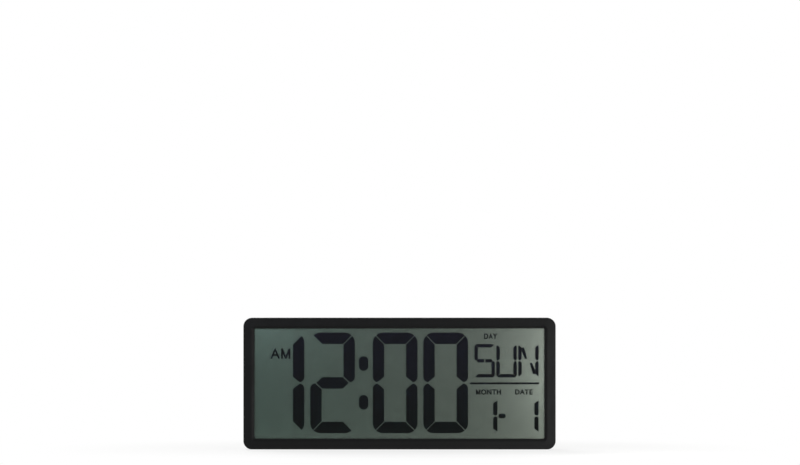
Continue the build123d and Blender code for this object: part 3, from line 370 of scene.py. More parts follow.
# A narrower band of them, for more contrast
MIDDLE_LOW = 0.35
MIDDLE_HIGH = 0.65
ROUGHNESS_VARIES = 0.05
GRAIN_STRENGTH = 0.6


def moulded_abs(name, base, roughness, grain, depth, shade, patches=22.0, shine=0.3):
    """ABS with a spark eroded grain, its size, depth and handling patches in millimetres."""
    material, tree, shader = finish(name, base, roughness, ior=1.54, shine=shine)
    where = add(tree, "ShaderNodeTexCoord").outputs["Object"]
    slow = add(tree, "ShaderNodeTexNoise", {"Vector": where, "Scale": 1000 / patches, "Detail": 3.0})
    rough = add(
        tree,
        "ShaderNodeMapRange",
        {
            "Value": slow.outputs["Fac"],
            "From Min": NOISE_LOW,
            "From Max": NOISE_HIGH,
            "To Min": roughness - ROUGHNESS_VARIES,
            "To Max": roughness + ROUGHNESS_VARIES,
        },
    )
    fine = add(tree, "ShaderNodeTexNoise", {"Vector": where, "Scale": 1000 / grain, "Detail": 2.0})
    bump = add(
        tree,
        "ShaderNodeBump",
        {"Height": fine.outputs["Fac"], "Distance": mm(depth), "Strength": GRAIN_STRENGTH},
    )
    # Painted shade: the noise that raises the grain also paints its pits darker and its tops lighter
    painted_pit_shade = add(
        tree,
        "ShaderNodeMapRange",
        {
            "Value": fine.outputs["Fac"],
            "From Min": MIDDLE_LOW,
            "From Max": MIDDLE_HIGH,
            "To Min": 1 - shade,
            "To Max": 1 + shade,
        },
    )
    toned = add(
        tree,
        "ShaderNodeVectorMath",
        {0: colour(base)[:3], 1: painted_pit_shade.outputs["Result"]},
        operation="MULTIPLY",
    )
    tree.links.new(toned.outputs[0], shader.inputs["Base Color"])
    tree.links.new(rough.outputs["Result"], shader.inputs["Roughness"])
    tree.links.new(bump.outputs["Normal"], shader.inputs["Normal"])
    return material


print("grain strength:", GRAIN_STRENGTH)

# %% [markdown]
# Four moulded finishes
#
# The frame is the blackest and has the finer grain, and the back a coarser one with deeper
# pits and more painted shade in them. Both are drawn coarser than they are, at 0.45 mm and at
# about 1 mm, so that they still show in a small picture. The small keys are dark grey, so that
# they stand out from the back, and smoother, with smaller patches.

# %% Black and grey ABS
satin_black = moulded_abs(
    "satin_black_abs", "#090a0a", roughness=0.58, grain=0.45, depth=0.02, shade=0.15, shine=0.2
)
grained_black = moulded_abs(
    "grained_black_abs", "#161617", roughness=0.52, grain=1.1, depth=0.12, shade=0.4
)
leg_black = moulded_abs("leg_black_abs", "#18181a", roughness=0.48, grain=1.0, depth=0.1, shade=0.3)
key_grey = moulded_abs(
    "key_grey_abs", "#4a4b4e", roughness=0.42, grain=0.4, depth=0.015, shade=0.1, patches=6.0
)

KEYS = ("mode", "set", "up", "down", "snooze")
dress(satin_black, "front_bezel")
dress(grained_black, "rear_housing", "battery_door")
dress(leg_black, "stand_leg")
dress(key_grey, "alarm_switch_knob", *[key + "_button" for key in KEYS])
print("moulded finishes:", [m.name for m in (satin_black, grained_black, leg_black, key_grey)])

# %% [markdown]
# The window
#
# A clear acrylic sheet covers the display. It is flat and thin, so what lies behind it isn't
# bent, and a full glass shader would only cost time. Its finish is a see-through shader mixed
# with a sharp reflection. Cleaning leaves faint smears, which blur the reflection a little in
# places. A large noise, stretched along X, draws them.

# %% Smears on the window
SMEAR_SIZE = 60
SMEAR_DRAWN_OUT = (1.0, 1.0, 3.5)
SMEAR_LOW = 0.35
SMEAR_HIGH = 0.75
CLEAN_ROUGHNESS = 0.02
SMEARED_ROUGHNESS = 0.04


def clear_sheet(name):
    """A new material without a Principled shader, for a sheet that light goes through."""
    material = bpy.data.materials.new(name)
    material.use_nodes = True
    tree = material.node_tree
    tree.nodes.remove(tree.nodes["Principled BSDF"])
    return material, tree


window_clear, tree = clear_sheet("clear_acrylic")
where = add(tree, "ShaderNodeTexCoord").outputs["Object"]
stretch = add(tree, "ShaderNodeMapping", {"Vector": where, "Scale": SMEAR_DRAWN_OUT})
smear = add(
    tree,
    "ShaderNodeTexNoise",
    {"Vector": stretch.outputs[0], "Scale": 1000 / SMEAR_SIZE, "Detail": 4.0},
)
blur = add(
    tree,
    "ShaderNodeMapRange",
    {
        "Value": smear.outputs["Fac"],
        "From Min": SMEAR_LOW,
        "From Max": SMEAR_HIGH,
        "To Min": CLEAN_ROUGHNESS,
        "To Max": SMEARED_ROUGHNESS,
    },
)
print("smears, mm:", SMEAR_SIZE)

# %% [markdown]
# How much the window reflects
#
# The Fresnel law mixes the two shaders: about 3 percent of the light is reflected head on, and
# more at a slant. Both faces of the sheet reflect, but the shine is drawn on the outer one
# only. The law would take a ray that meets the inner face at a slant for one caught inside the
# sheet, and the display would go dark from above.

# %% Window finish
WINDOW_IOR = 1.45

through = add(tree, "ShaderNodeBsdfTransparent", {"Color": colour("#fefefe")})
shine = add(
    tree,
    "ShaderNodeBsdfAnisotropic",
    {"Color": colour(WHITE), "Roughness": blur.outputs["Result"]},
)
law = add(tree, "ShaderNodeFresnel", {"IOR": WINDOW_IOR})
face = add(tree, "ShaderNodeNewGeometry")
outer = add(
    tree, "ShaderNodeMix", {"Factor": face.outputs["Backfacing"], "A": law.outputs[0], "B": 0.0}
)
mixed = add(
    tree,
    "ShaderNodeMixShader",
    {0: outer.outputs["Result"], 1: through.outputs[0], 2: shine.outputs[0]},
)
surface(tree, mixed)
dress(window_clear, "display_window")
print("window nodes:", len(tree.nodes))

# %% [markdown]
# The film behind the display
#
# A reflective LCD is a sandwich. Light goes in through a grey polariser and two glass sheets,
# is sent back by a pearly film, and comes out through the same layers. The film is a diffuse
# aluminium layer. It sends most light back near the mirror direction, and that is what makes
# the ground lighter towards the lamp. Such a display also looks a little greener at one end,
# because its colour hangs on the angle of view, so one ramp tones the film across. A second
# ramp paints the film paler towards its top: a painted sheen.

# %% Colour of the film
VIEW_HALF_WIDTH = 171
VIEW_BOTTOM = 12.5
VIEW_TOP = 142.5
FILM_LEFT = "#8ca59c"
FILM_RIGHT = "#9fa69e"

reflector, tree, shader = finish("pearl_reflector_film", FILM_LEFT, roughness=0.24, metallic=0.9)
where = add(tree, "ShaderNodeTexCoord").outputs["Object"]
parts = add(tree, "ShaderNodeSeparateXYZ", {0: where})
across = add(
    tree,
    "ShaderNodeMapRange",
    {"Value": parts.outputs["X"], "From Min": mm(-VIEW_HALF_WIDTH), "From Max": mm(VIEW_HALF_WIDTH)},
)
up = add(
    tree,
    "ShaderNodeMapRange",
    {"Value": parts.outputs["Z"], "From Min": mm(VIEW_BOTTOM), "From Max": mm(VIEW_TOP)},
)
hue = add(tree, "ShaderNodeValToRGB", {"Fac": across.outputs["Result"]})
hue.color_ramp.elements[0].color = colour(FILM_LEFT)
hue.color_ramp.elements[1].color = colour(FILM_RIGHT)
# Painted sheen: this ramp paints the film paler towards its top
painted_top_sheen = add(tree, "ShaderNodeValToRGB", {"Fac": up.outputs["Result"]})
painted_top_sheen.color_ramp.elements[0].color = colour("#d8dad7")
painted_top_sheen.color_ramp.elements[1].color = colour(WHITE)
toned = add(
    tree,
    "ShaderNodeMix",
    {"Factor": 1.0, 6: hue.outputs["Color"], 7: painted_top_sheen.outputs["Color"]},
    data_type="RGBA",
    blend_type="MULTIPLY",
)
print("film colours:", FILM_LEFT, FILM_RIGHT)

# %% [markdown]
# Pearl
#
# The film's flakes lie unevenly, so its ground looks like fine paper. A noise makes each spot
# a little lighter or darker than the ones round it. It is drawn at 0.7 mm, coarser than the
# flakes are. Cycles is told to try each lamp equally often, because the film answers most to
# the weakest one.

# %% Pearly film
PEARL_SIZE = 0.7
PEARL_DARK = 0.92
PEARL_LIGHT = 1.08

pearl = add(
    tree, "ShaderNodeTexNoise", {"Vector": where, "Scale": 1000 / PEARL_SIZE, "Detail": 1.0}
)
flakes = add(
    tree,
    "ShaderNodeMapRange",
    {
        "Value": pearl.outputs["Fac"],
        "From Min": NOISE_LOW,
        "From Max": NOISE_HIGH,
        "To Min": PEARL_DARK,
        "To Max": PEARL_LIGHT,
    },
)
pearly = add(
    tree,
    "ShaderNodeVectorMath",
    {0: toned.outputs[2], 1: flakes.outputs["Result"]},
    operation="MULTIPLY",
)
tree.links.new(pearly.outputs[0], shader.inputs["Base Color"])
dress(reflector, "rear_reflector")
bpy.context.scene.cycles.use_light_tree = False
print("film nodes:", len(tree.nodes))

# %% [markdown]
# Polariser and glass
#
# The layers in front of the film are cemented together, so their inner faces don't reflect,
# and plain see-through shaders show them as they are. Light passes many of them, so Cycles may
# cross more clear faces than usual.

# %% Cemented sheets
CLEAR_FACES = 32


def cemented_sheet(name, tint):
    """A sheet with no shine of its own, because it is cemented between others."""
    material, tree = clear_sheet(name)
    surface(tree, add(tree, "ShaderNodeBsdfTransparent", {"Color": colour(tint)}))
    return material


dress(cemented_sheet("grey_polariser_film", "#f6f7f6"), "front_polariser")
dress(cemented_sheet("float_glass", WHITE), "lcd_front_glass", "lcd_rear_glass")
bpy.context.scene.cycles.transparent_max_bounces = CLEAR_FACES
print("clear faces that a ray may cross:", CLEAR_FACES)

# %% [markdown]
# Lit segments
#
# A lit segment turns the light so that the polariser stops it, which is why it looks black and
# not printed. A ramp paints the black lighter with a trace of violet at the top, and green at the
# bottom: a painted sheen. The ink has no shine, because it lies inside the sandwich.

# %% Segment ink
INK_LOW_Z = 15
INK_HIGH_Z = 140
INK_AT_BOTTOM = "#050e0d"

ink, tree, shader = finish("lit_segment", INK_AT_BOTTOM, roughness=0.6, shine=0.0)
where = add(tree, "ShaderNodeTexCoord").outputs["Object"]
parts = add(tree, "ShaderNodeSeparateXYZ", {0: where})
height = add(
    tree,
    "ShaderNodeMapRange",
    {"Value": parts.outputs["Z"], "From Min": mm(INK_LOW_Z), "From Max": mm(INK_HIGH_Z)},
)
# Painted sheen: the ink is painted lighter and violet towards its top, green at its bottom
tint = add(tree, "ShaderNodeValToRGB", {"Fac": height.outputs["Result"]})
tint.color_ramp.elements[0].color = colour(INK_AT_BOTTOM)
tint.color_ramp.elements[1].color = colour("#13131f")
tree.links.new(tint.outputs["Color"], shader.inputs["Base Color"])
dress(ink, "time_segments", "colon_dots", "day_segments", "calendar_segments", "divider_bar")
print("segment finish:", ink.name)

# %% [markdown]
# The letter M
#
# The words of an LCD are segments too: etched shapes that turn dark all at once. Drawing each
# letter by hand would be slow and uneven, so Blender's own font gives the outlines. Only its M
# is redrawn: the middle of the real one comes down to the line, so its fifteen corners are
# moved. They are given as shares of the letter's width and height.

# %% Redraw the M
M_CORNERS = [
    (1, 1), (0.857, 1), (0.5, 0.2), (0.143, 1), (0, 1),
    (0, 0), (0.15, 0), (0.15, 0.45), (0.232, 0.45), (0.43, 0),
    (0.57, 0), (0.768, 0.45), (0.85, 0.45), (0.85, 0), (1, 0),
]


def redraw_m(splines):
    """Move the corners of each M, the only glyph with fifteen, to the straight legged form."""
    for spline in splines:
        corners = spline.bezier_points
        if len(corners) != len(M_CORNERS):
            continue
        left, right = min(c.co.x for c in corners), max(c.co.x for c in corners)
        top = max(c.co.y for c in corners)
        for corner, (across, up) in zip(corners, M_CORNERS):
            corner.handle_left_type = corner.handle_right_type = "VECTOR"
            corner.co = Vector((left + across * (right - left), up * top, 0))


print("corners of an M:", len(M_CORNERS))

# %% [markdown]
# Letters as solid pieces
#
# The letters of the display are thin solids in the gap between the two glasses, and printed
# ones are thinner still. One function makes both: text becomes curves, which can be made
# bolder, and then a mesh, to which Solidify gives its thickness. Size and place are worked into
# its points, so that its object ends at the origin like every CAD node.

# %% How a word is made
SAME_POINT = 0.002


def word(
    name, text, centre, baseline, cap, front, thickness,
    width=None, bold=0.0, spacing=1.0, seen_from_back=False,
):
    """Text as a thin solid mesh, upright and facing -Y or +Y. Sizes are in millimetres."""
    bpy.ops.object.select_all(action="DESELECT")
    bpy.ops.object.text_add()
    letters = bpy.context.object
    letters.data.body = text
    letters.data.size = 1.0
    letters.data.resolution_u = 6
    letters.data.space_character = spacing
    bpy.ops.object.convert(target="CURVE")
    letters = bpy.context.object
    redraw_m(letters.data.splines)
    letters.data.offset = bold
    bpy.ops.object.convert(target="MESH")
    letters = bpy.context.object
    letters.name = name
    points = [v.co for v in letters.data.vertices]
    left, right = min(p.x for p in points), max(p.x for p in points)
    top = max(p.y for p in points)
    width = width or cap * (right - left) / top
    turn = -1 if seen_from_back else 1
    for vertex in letters.data.vertices:
        across = (vertex.co.x - (left + right) / 2) * width / (right - left)
        up = vertex.co.y * cap / top
        vertex.co = Vector((mm(centre + turn * across), mm(front), mm(baseline + up)))
    wall = letters.modifiers.new("thickness", "SOLIDIFY")
    wall.thickness = mm(thickness)
    wall.offset = -1.0
    bpy.ops.object.modifier_apply(modifier=wall.name)
    bpy.ops.object.mode_set(mode="EDIT")
    bpy.ops.mesh.select_all(action="SELECT")
    bpy.ops.mesh.remove_doubles(threshold=mm(SAME_POINT))
    bpy.ops.mesh.normals_make_consistent(inside=False)
    bpy.ops.object.mode_set(mode="OBJECT")
    return letters


print("points closer than this become one, mm:", SAME_POINT)

# %% [markdown]
# Words in the display
#
# AM stands beside the hour. DAY, MONTH and DATE name the small digits on the right. Each has
# its own height and width, and strokes made bolder by a share of the letter's size, as etched
# letters are drawn: the smaller the word, the bolder.

# %% Words in the cell
MIDDLE_Z = 1000 * (cad_low.z + cad_high.z) / 2
INK_SETBACK = 0.02
INK_FRONT = 1000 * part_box("time_segments")[0].y + INK_SETBACK
INK_DEPTH = 0.14


def display_word(text, centre, above_middle, cap, width, bold, spacing):
    """A word between the two glasses, placed by its middle and by how far its line is up."""
    line = MIDDLE_Z + above_middle
    name = "word_" + text.lower()
    return word(name, text, centre, line, cap, INK_FRONT, INK_DEPTH, width, bold, spacing)


cell_words = [
    display_word("AM", centre=-140.6, above_middle=29.5, cap=11.9, width=23.4, bold=0.012, spacing=1.08),
    display_word("DAY", centre=107.5, above_middle=52.6, cap=6.3, width=15.2, bold=0.016, spacing=1.12),
    display_word("MONTH", centre=104.9, above_middle=-12.7, cap=5.9, width=29.4, bold=0.028, spacing=1.14),
    display_word("DATE", centre=146.6, above_middle=-12.7, cap=5.9, width=20.5, bold=0.03, spacing=1.1),
]
for letters in cell_words:
    letters.data.materials.append(ink)
    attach(letters, "case")
print("words, mm:", {w.name: [round(1000 * d, 1) for d in w.dimensions] for w in cell_words})

# %% [markdown]
# Printed legends
#
# The keys and the alarm switch are named beside them on the sunk panels. A soft pad lays light
# grey ink there in one stamp. The ink is a little uneven, as pad print is, in patches drawn at
# 0.4 mm, so a noise picks its grey between two.

# %% Legend ink
INK_PATCHES = 0.4
LEGEND_LIGHT = "#e2e3e5"

legend_ink, tree, shader = finish("pad_printed_ink", LEGEND_LIGHT, roughness=0.5)
where = add(tree, "ShaderNodeTexCoord").outputs["Object"]
uneven = add(
    tree, "ShaderNodeTexNoise", {"Vector": where, "Scale": 1000 / INK_PATCHES, "Detail": 2.0}
)
worn = add(tree, "ShaderNodeValToRGB", {"Fac": uneven.outputs["Fac"]})
worn.color_ramp.elements[0].color = colour("#9fa1a4")
worn.color_ramp.elements[1].color = colour(LEGEND_LIGHT)
tree.links.new(worn.outputs["Color"], shader.inputs["Base Color"])
print("legend ink:", legend_ink.name)

# %% [markdown]
# Where the legends stand
#
# Each key's name stands above its key, and OFF and ON stand at the two ends of the switch's
# way, so their places come from the boxes of the keys and of the switch's knob. The film is a
# few hundredths of a millimetre thick, and is drawn 0.06 mm proud, so that it shows as a shape
# of its own.

# %% Legends on the back
LEGEND_CAP = 1.9
LEGEND_BASE = 27.1
SWITCH_CAP = 1.7
SWITCH_BASE = 21.15
SWITCH_TRAVEL = 4.0
BESIDE_SWITCH = 8.6
PANEL_FLOOR = 13.8
INK_PROUD = 0.06
INK_FILM = 0.08


def box_middle(box):
    """The middle of a box given by its two corners, in metres."""
    low, high = box
    return (low + high) / 2


switch_x = 1000 * box_middle(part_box("alarm_switch_knob")).x + SWITCH_TRAVEL / 2
legends = []
for key in KEYS:
    key_x = 1000 * box_middle(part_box(key + "_button")).x
    legends.append((key, key_x, LEGEND_BASE, LEGEND_CAP))
legends.append(("alarm", switch_x, LEGEND_BASE, LEGEND_CAP))
legends.append(("off", switch_x - BESIDE_SWITCH, SWITCH_BASE, SWITCH_CAP))
legends.append(("on", switch_x + BESIDE_SWITCH, SWITCH_BASE, SWITCH_CAP))
for label, x, base, cap in legends:
    name = "legend_" + label
    front = PANEL_FLOOR + INK_PROUD
    print_piece = word(name, label.upper(), x, base, cap, front, INK_FILM, seen_from_back=True)
    print_piece.data.materials.append(legend_ink)
    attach(print_piece, "case")
print("legends:", len(legends))

# %% [markdown]
# Which way round the cells go
#
# Beside each end of the battery bay a plus or a minus says which end of the cell belongs there.
# A plus is a small block whose four sides are pulled out, so it stays one closed shape with no
# hidden faces, which two crossed bars would have. A minus is the same block pulled out on two
# sides.

# %% How a mark is made
MARK_PROUD = 0.07
MARK_ROOT = 0.05
MARK_STROKE = 0.9
MARK_REACH = 1.3
MARK_ROUND = 0.06
NEAR_AXIS = 0.3
FACES_THAT_WAY = 0.9


def polarity_mark(name, sides):
    """A plus or a minus at the origin, its faces pulled out along the given directions."""
    bpy.ops.object.select_all(action="DESELECT")
    bpy.ops.mesh.primitive_cube_add(size=mm(MARK_STROKE))
    block = bpy.context.object
    block.name = name
    for vertex in block.data.vertices:
        vertex.co.y = mm(MARK_PROUD) if vertex.co.y > 0 else mm(-MARK_ROOT)
    for side in sides:
        bpy.ops.object.mode_set(mode="EDIT")
        bpy.ops.mesh.select_all(action="DESELECT")
        bpy.ops.object.mode_set(mode="OBJECT")
        for face in block.data.polygons:
            aside = face.center - side * face.center.dot(side)
            face.select = face.normal.dot(side) > FACES_THAT_WAY and aside.length < mm(NEAR_AXIS)
        bpy.ops.object.mode_set(mode="EDIT")
        bpy.ops.mesh.extrude_region_move(TRANSFORM_OT_translate={"value": side * mm(MARK_REACH)})
        bpy.ops.object.mode_set(mode="OBJECT")
    corners = block.modifiers.new("soft corners", "BEVEL")
    corners.width = mm(MARK_ROUND)
    corners.segments = 2
    bpy.ops.object.modifier_apply(modifier=corners.name)
    block.data.materials.append(legend_ink)
    return block


x_axis, z_axis = Vector((1, 0, 0)), Vector((0, 0, 1))
plus = polarity_mark("plus_model", (x_axis, -x_axis, z_axis, -z_axis))
minus = polarity_mark("minus_model", (x_axis, -x_axis))
print("faces of a plus and a minus:", len(plus.data.polygons), len(minus.data.polygons))

# %% [markdown]
# A mark at each end of each cell
#
# Each mark is modelled once and copied, and the copy is moved in its mesh, so that its object
# stays at the origin. It stands level with the middle of its cell. The cells lie opposite ways
# round, so their plus ends are on opposite sides.

# %% Plus and minus
MARK_SEAT = 13.05
MARK_X = 33.0


def copy_of(model, name, place):
    """A copy with its own mesh, moved in its mesh so that its object stays at the origin."""
    twin = model.copy()
    twin.data = model.data.copy()
    twin.name = name
    bpy.context.scene.collection.objects.link(twin)
    twin.data.transform(place)
    return twin


upper_z = box_middle(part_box("battery_upper")).z
lower_z = box_middle(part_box("battery_lower")).z
marks = [
    ("plus_upper", plus, MARK_X, upper_z),
    ("minus_upper", minus, -MARK_X, upper_z),
    ("plus_lower", plus, -MARK_X, lower_z),
    ("minus_lower", minus, MARK_X, lower_z),
]
for name, model, x, z in marks:
    place = Matrix.Translation((mm(x), mm(MARK_SEAT), z))
    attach(copy_of(model, name, place), "case")
for model in (plus, minus):
    bpy.data.objects.remove(model)
print("polarity marks:", len(marks))

# %% [markdown]
# The dry cells
#
# An AA cell is a steel can in a thin plastic sleeve. It is modelled once, lying along X with
# its raised button at +X, and copied for each place in the bay. A cylinder has the round body,
# and its two end faces are then worked into what a real cell has there.

# %% Body of a cell
CELL_R = 7.25
CELL_LENGTH = 49.2
CELL_SIDES = 64

bpy.ops.object.select_all(action="DESELECT")
bpy.ops.mesh.primitive_cylinder_add(
    vertices=CELL_SIDES,
    radius=mm(CELL_R),
    depth=mm(CELL_LENGTH),
    rotation=(0, math.radians(90), 0),
)
bpy.ops.object.transform_apply(location=True, rotation=True, scale=True)
cell = bpy.context.object
cell.name = "dry_cell_model"
print("body, mm:", [round(1000 * d, 2) for d in cell.dimensions])

# %% [markdown]
# The two ends
#
# The sleeve is shrunk on, so it rolls over both rims and leaves a lip, and the metal lies a
# little below that lip. One end rises by a low shoulder to the button, and the other is a flat
# steel disc that bulges a little. Inset and extrude draw all of them out of the end faces, so
# the cell stays one closed shape.

# %% Lip, shoulder and button
SLEEVE_LIP = 1.1
LIP_DEPTH = 0.3
BUTTON = 1.3
BUTTON_R = 2.75
SHOULDER_RISE = 0.1
BASE_RING = 0.8
BASE_BULGE = 0.15
END_FACES_THAT_WAY = 0.99


def pick_end(piece, way):
    """Select the flat face at one end along X, in edit mode."""
    bpy.ops.object.mode_set(mode="EDIT")
    bpy.ops.mesh.select_mode(type="FACE")
    bpy.ops.mesh.select_all(action="DESELECT")
    bpy.ops.object.mode_set(mode="OBJECT")
    for face in piece.data.polygons:
        face.select = face.normal.x * way > END_FACES_THAT_WAY
    bpy.ops.object.mode_set(mode="EDIT")


def step(inward, outward):
    """Inset the chosen face, then move what is left along X. Both in millimetres."""
    bpy.ops.mesh.inset(thickness=mm(inward))
    if outward:
        bpy.ops.mesh.extrude_region_move(TRANSFORM_OT_translate={"value": (mm(outward), 0, 0)})


shoulder = CELL_R - SLEEVE_LIP - BUTTON_R
pick_end(cell, 1)
step(SLEEVE_LIP, -LIP_DEPTH)
step(shoulder / 2, 0)
bpy.ops.transform.translate(value=(mm(SHOULDER_RISE), 0, 0))
step(shoulder / 2, BUTTON + LIP_DEPTH - SHOULDER_RISE)
bpy.ops.object.mode_set(mode="OBJECT")
pick_end(cell, -1)
step(SLEEVE_LIP, LIP_DEPTH)
step(BASE_RING, 0)
bpy.ops.transform.translate(value=(mm(-BASE_BULGE), 0, 0))
bpy.ops.object.mode_set(mode="OBJECT")
print("faces with both ends drawn:", len(cell.data.polygons))

# %% [markdown]
# Round rims
#
# Shrinking and pressing leave no sharp edge on a cell. A bevel modifier rounds every edge that
# turns by more than 40 degrees, and leaves the small turns between the cylinder's sides alone.
# Those are only shaded smooth.

# %% Round the rims
RIM_ROUND = 0.22
BEVEL_ABOVE_DEGREES = 40
SMOOTH_BELOW_DEGREES = 35

rims =cell.modifiers.new("rolled rims", "BEVEL")
rims.width = mm(RIM_ROUND)
rims.segments = 3
rims.limit_method = "ANGLE"
rims.angle_limit = math.radians(BEVEL_ABOVE_DEGREES)
bpy.ops.object.modifier_apply(modifier=rims.name)
bpy.ops.object.shade_smooth_by_angle(angle=math.radians(SMOOTH_BELOW_DEGREES))
print("cell, mm:", [round(1000 * d, 2) for d in cell.dimensions])

# %% [markdown]
# The printed sleeve
#
# The sleeve is printed PVC film: a plain blue grey with one pale band at the button end, and
# nothing written on it. The band has to turn with the cell, so each point of the mesh carries
# how far along the cell it is, and the material reads that. Shrinking leaves the film's gloss
# uneven, in patches of a few millimetres.

# %% Sleeve
SLEEVE_BLUE = "#35505f"
BAND_STARTS = 0.78
SHRINK_PATCHES = 5
GLOSSY_SLEEVE = 0.24
DULL_SLEEVE = 0.4

share_along = cell.data.attributes.new("along_cell", "FLOAT", "POINT")
for vertex in cell.data.vertices:
    share_along.data[vertex.index].value = vertex.co.x / mm(CELL_LENGTH) + 0.5

sleeve, tree, shader = finish("printed_pvc_sleeve", SLEEVE_BLUE, roughness=0.3, ior=1.53)
along = add(tree, "ShaderNodeAttribute", attribute_name="along_cell")
band = add(tree, "ShaderNodeValToRGB", {"Fac": along.outputs["Fac"]})
band.color_ramp.interpolation = "CONSTANT"
band.color_ramp.elements[0].color = colour(SLEEVE_BLUE)
band.color_ramp.elements[1].position = BAND_STARTS
band.color_ramp.elements[1].color = colour("#b9c0c2")
where = add(tree, "ShaderNodeTexCoord").outputs["Object"]
shrink = add(
    tree, "ShaderNodeTexNoise", {"Vector": where, "Scale": 1000 / SHRINK_PATCHES, "Detail": 3.0}
)
scuffs = add(
    tree,
    "ShaderNodeMapRange",
    {
        "Value": shrink.outputs["Fac"],
        "From Min": NOISE_LOW,
        "From Max": NOISE_HIGH,
        "To Min": GLOSSY_SLEEVE,
        "To Max": DULL_SLEEVE,
    },
)
tree.links.new(band.outputs["Color"], shader.inputs["Base Color"])
tree.links.new(scuffs.outputs["Result"], shader.inputs["Roughness"])
cell.data.materials.append(sleeve)
print("points with a place along the cell:", len(share_along.data))

# %% [markdown]
# Finishes that vary in patches
#
# Plated steel, foam, cured resin and cable skin differ in many ways, but in all of them colour,
# gloss and relief vary together. One noise drives the three, so one function serves them all.
# What differs is given when it is called: colours, patch size and stretch, gloss and depth.

# %% How a patchy finish is made
def patchy(name, dark, light, size, roughness, metallic=0.0, ior=1.5, stretch=(1, 1, 1), depth=0.0):
    """A finish whose colour, gloss and relief vary together, in patches of a size in millimetres."""
    material, tree, shader = finish(name, dark, roughness, metallic, ior)
    where = add(tree, "ShaderNodeTexCoord").outputs["Object"]
    drawn = add(tree, "ShaderNodeMapping", {"Vector": where, "Scale": stretch})
    noise = add(
        tree,
        "ShaderNodeTexNoise",
        {"Vector": drawn.outputs[0], "Scale": 1000 / size, "Detail": 3.0},
    )
    tone = add(tree, "ShaderNodeValToRGB", {"Fac": noise.outputs["Fac"]})
    tone.color_ramp.elements[0].position = MIDDLE_LOW
    tone.color_ramp.elements[0].color = colour(dark)
    tone.color_ramp.elements[1].position = MIDDLE_HIGH
    tone.color_ramp.elements[1].color = colour(light)
    gloss = add(
        tree,
        "ShaderNodeMapRange",
        {
            "Value": noise.outputs["Fac"],
            "From Min": NOISE_LOW,
            "From Max": NOISE_HIGH,
            "To Min": roughness - ROUGHNESS_VARIES,
            "To Max": roughness + ROUGHNESS_VARIES,
        },
    )
    tree.links.new(tone.outputs["Color"], shader.inputs["Base Color"])
    tree.links.new(gloss.outputs["Result"], shader.inputs["Roughness"])
    if depth:
        relief = add(tree, "ShaderNodeBump", {"Height": noise.outputs["Fac"], "Distance": mm(depth)})
        tree.links.new(relief.outputs["Normal"], shader.inputs["Normal"])
    return material


print("band of the noise that gives the colours:", MIDDLE_LOW, MIDDLE_HIGH)

# %% [markdown]
# Steel ends
#
# The can is nickel plated steel, warm and bright. It is drawn from a strip, so faint lines run
# along it, and a stretched noise gives them. The metal starts inside the sleeve's lip, so each
# face gets its material by how far it lies from the cell's axis.

# %% Nickel on the ends
STEEL_INSIDE_LIP = 0.1

nickel = patchy(
    "nickel_plated_steel",
    "#b2aca0",
    "#cdc8bd",
    size=1.2,
    roughness=0.3,
    metallic=1.0,
    stretch=(0.2, 1, 1),
)
cell.data.materials.append(nickel)
steel_radius = CELL_R - SLEEVE_LIP - STEEL_INSIDE_LIP
for face in cell.data.polygons:
    off_axis = math.hypot(face.center.y, face.center.z)
    face.material_index = 0 if off_axis > mm(steel_radius) else 1
print("steel faces:", sum(face.material_index for face in cell.data.polygons))

# %% [markdown]
# Two cells in the bay
#
# The CAD model holds two plain cells of the same size. Each is replaced by a copy of the
# modelled one, whose middle is half a button's height away from the middle of its box, and the
# lower copy is turned end for end.

# %% Put two cells in
bay = (("dry_cell_upper", "battery_upper", 0), ("dry_cell_lower", "battery_lower", 180))
for name, node, degrees in bay:
    turn = Matrix.Rotation(math.radians(degrees), 4, "Z")
    aside = turn @ Vector((mm(-BUTTON / 2), 0, 0))
    place = Matrix.Translation(box_middle(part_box(node)) + aside)
    piece = copy_of(cell, name, place @ turn)
    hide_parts(node)
    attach(piece, "case")
    print(piece.name, "faces:", len(piece.data.polygons))
bpy.data.objects.remove(cell)

# %% [markdown]
# What lies inside
#
# The parts behind the display are seen only when the clock is taken apart, but each has the
# finish of the real one. They are plain stock materials, so the function for patchy finishes
# gives them all. What differs is how large the patches are, which way the material was drawn
# or flowed, and how it shines.

# %% Plastics, foam and resin
# Closed cell foam: dead matt, its 0.3 mm cells drawn at 0.5 mm so that they show
foam = patchy("black_eva_foam", "#131415", "#26282a", size=0.5, roughness=0.9, depth=0.15)
# Cured epoxy bead: translucent white, glossy, with slow waves from the dispenser
epoxy = patchy("white_epoxy_seal", "#b9bcb4", "#d2d4cc", size=4.0, roughness=0.35, ior=1.56)
# White polystyrene tray: milky, with long pale flow marks from the gate
polystyrene = patchy(
    "white_polystyrene",
    "#cbccc7",
    "#dcddd9",
    size=18.0,
    roughness=0.42,
    ior=1.59,
    stretch=(0.3, 1, 1),
    depth=0.03,
)
# A drop of black epoxy over the bare chip: glossy, and sunk a little as it cured
chip_drop = patchy(
    "black_epoxy_drop", "#0b0b0c", "#161618", size=3.5, roughness=0.22, ior=1.58, depth=0.12
)
# Glass filled PBT: satin black, a faint fibre pattern at its skin
pbt = patchy("black_pbt", "#0f1011", "#1b1c1e", size=0.8, roughness=0.42, ior=1.55, depth=0.01)
# PVC insulation: soft shine, slightly dimpled from the extruder
red_pvc = patchy("red_pvc", "#8b1411", "#a51c17", size=1.5, roughness=0.36, ior=1.53, depth=0.02)
black_pvc = patchy("black_pvc", "#0c0c0d", "#19191a", size=1.5, roughness=0.36, ior=1.53, depth=0.02)

dress(foam, "window_gasket")
dress(epoxy, "lcd_edge_seal")
dress(polystyrene, "lcd_holder")
dress(chip_drop, "clock_chip")
dress(pbt, "buzzer")
dress(red_pvc, "red_lead")
dress(black_pvc, "black_lead")
print("materials so far:", len(bpy.data.materials))

# %% [markdown]
# Metal inside
#
# The crystal's can is tinned steel, deep drawn, so it is bright with lines along its length.
# The screws are zinc plated: cool grey, with a cloudy passivation. The battery contacts have
# the same nickel on them as the cells' ends.

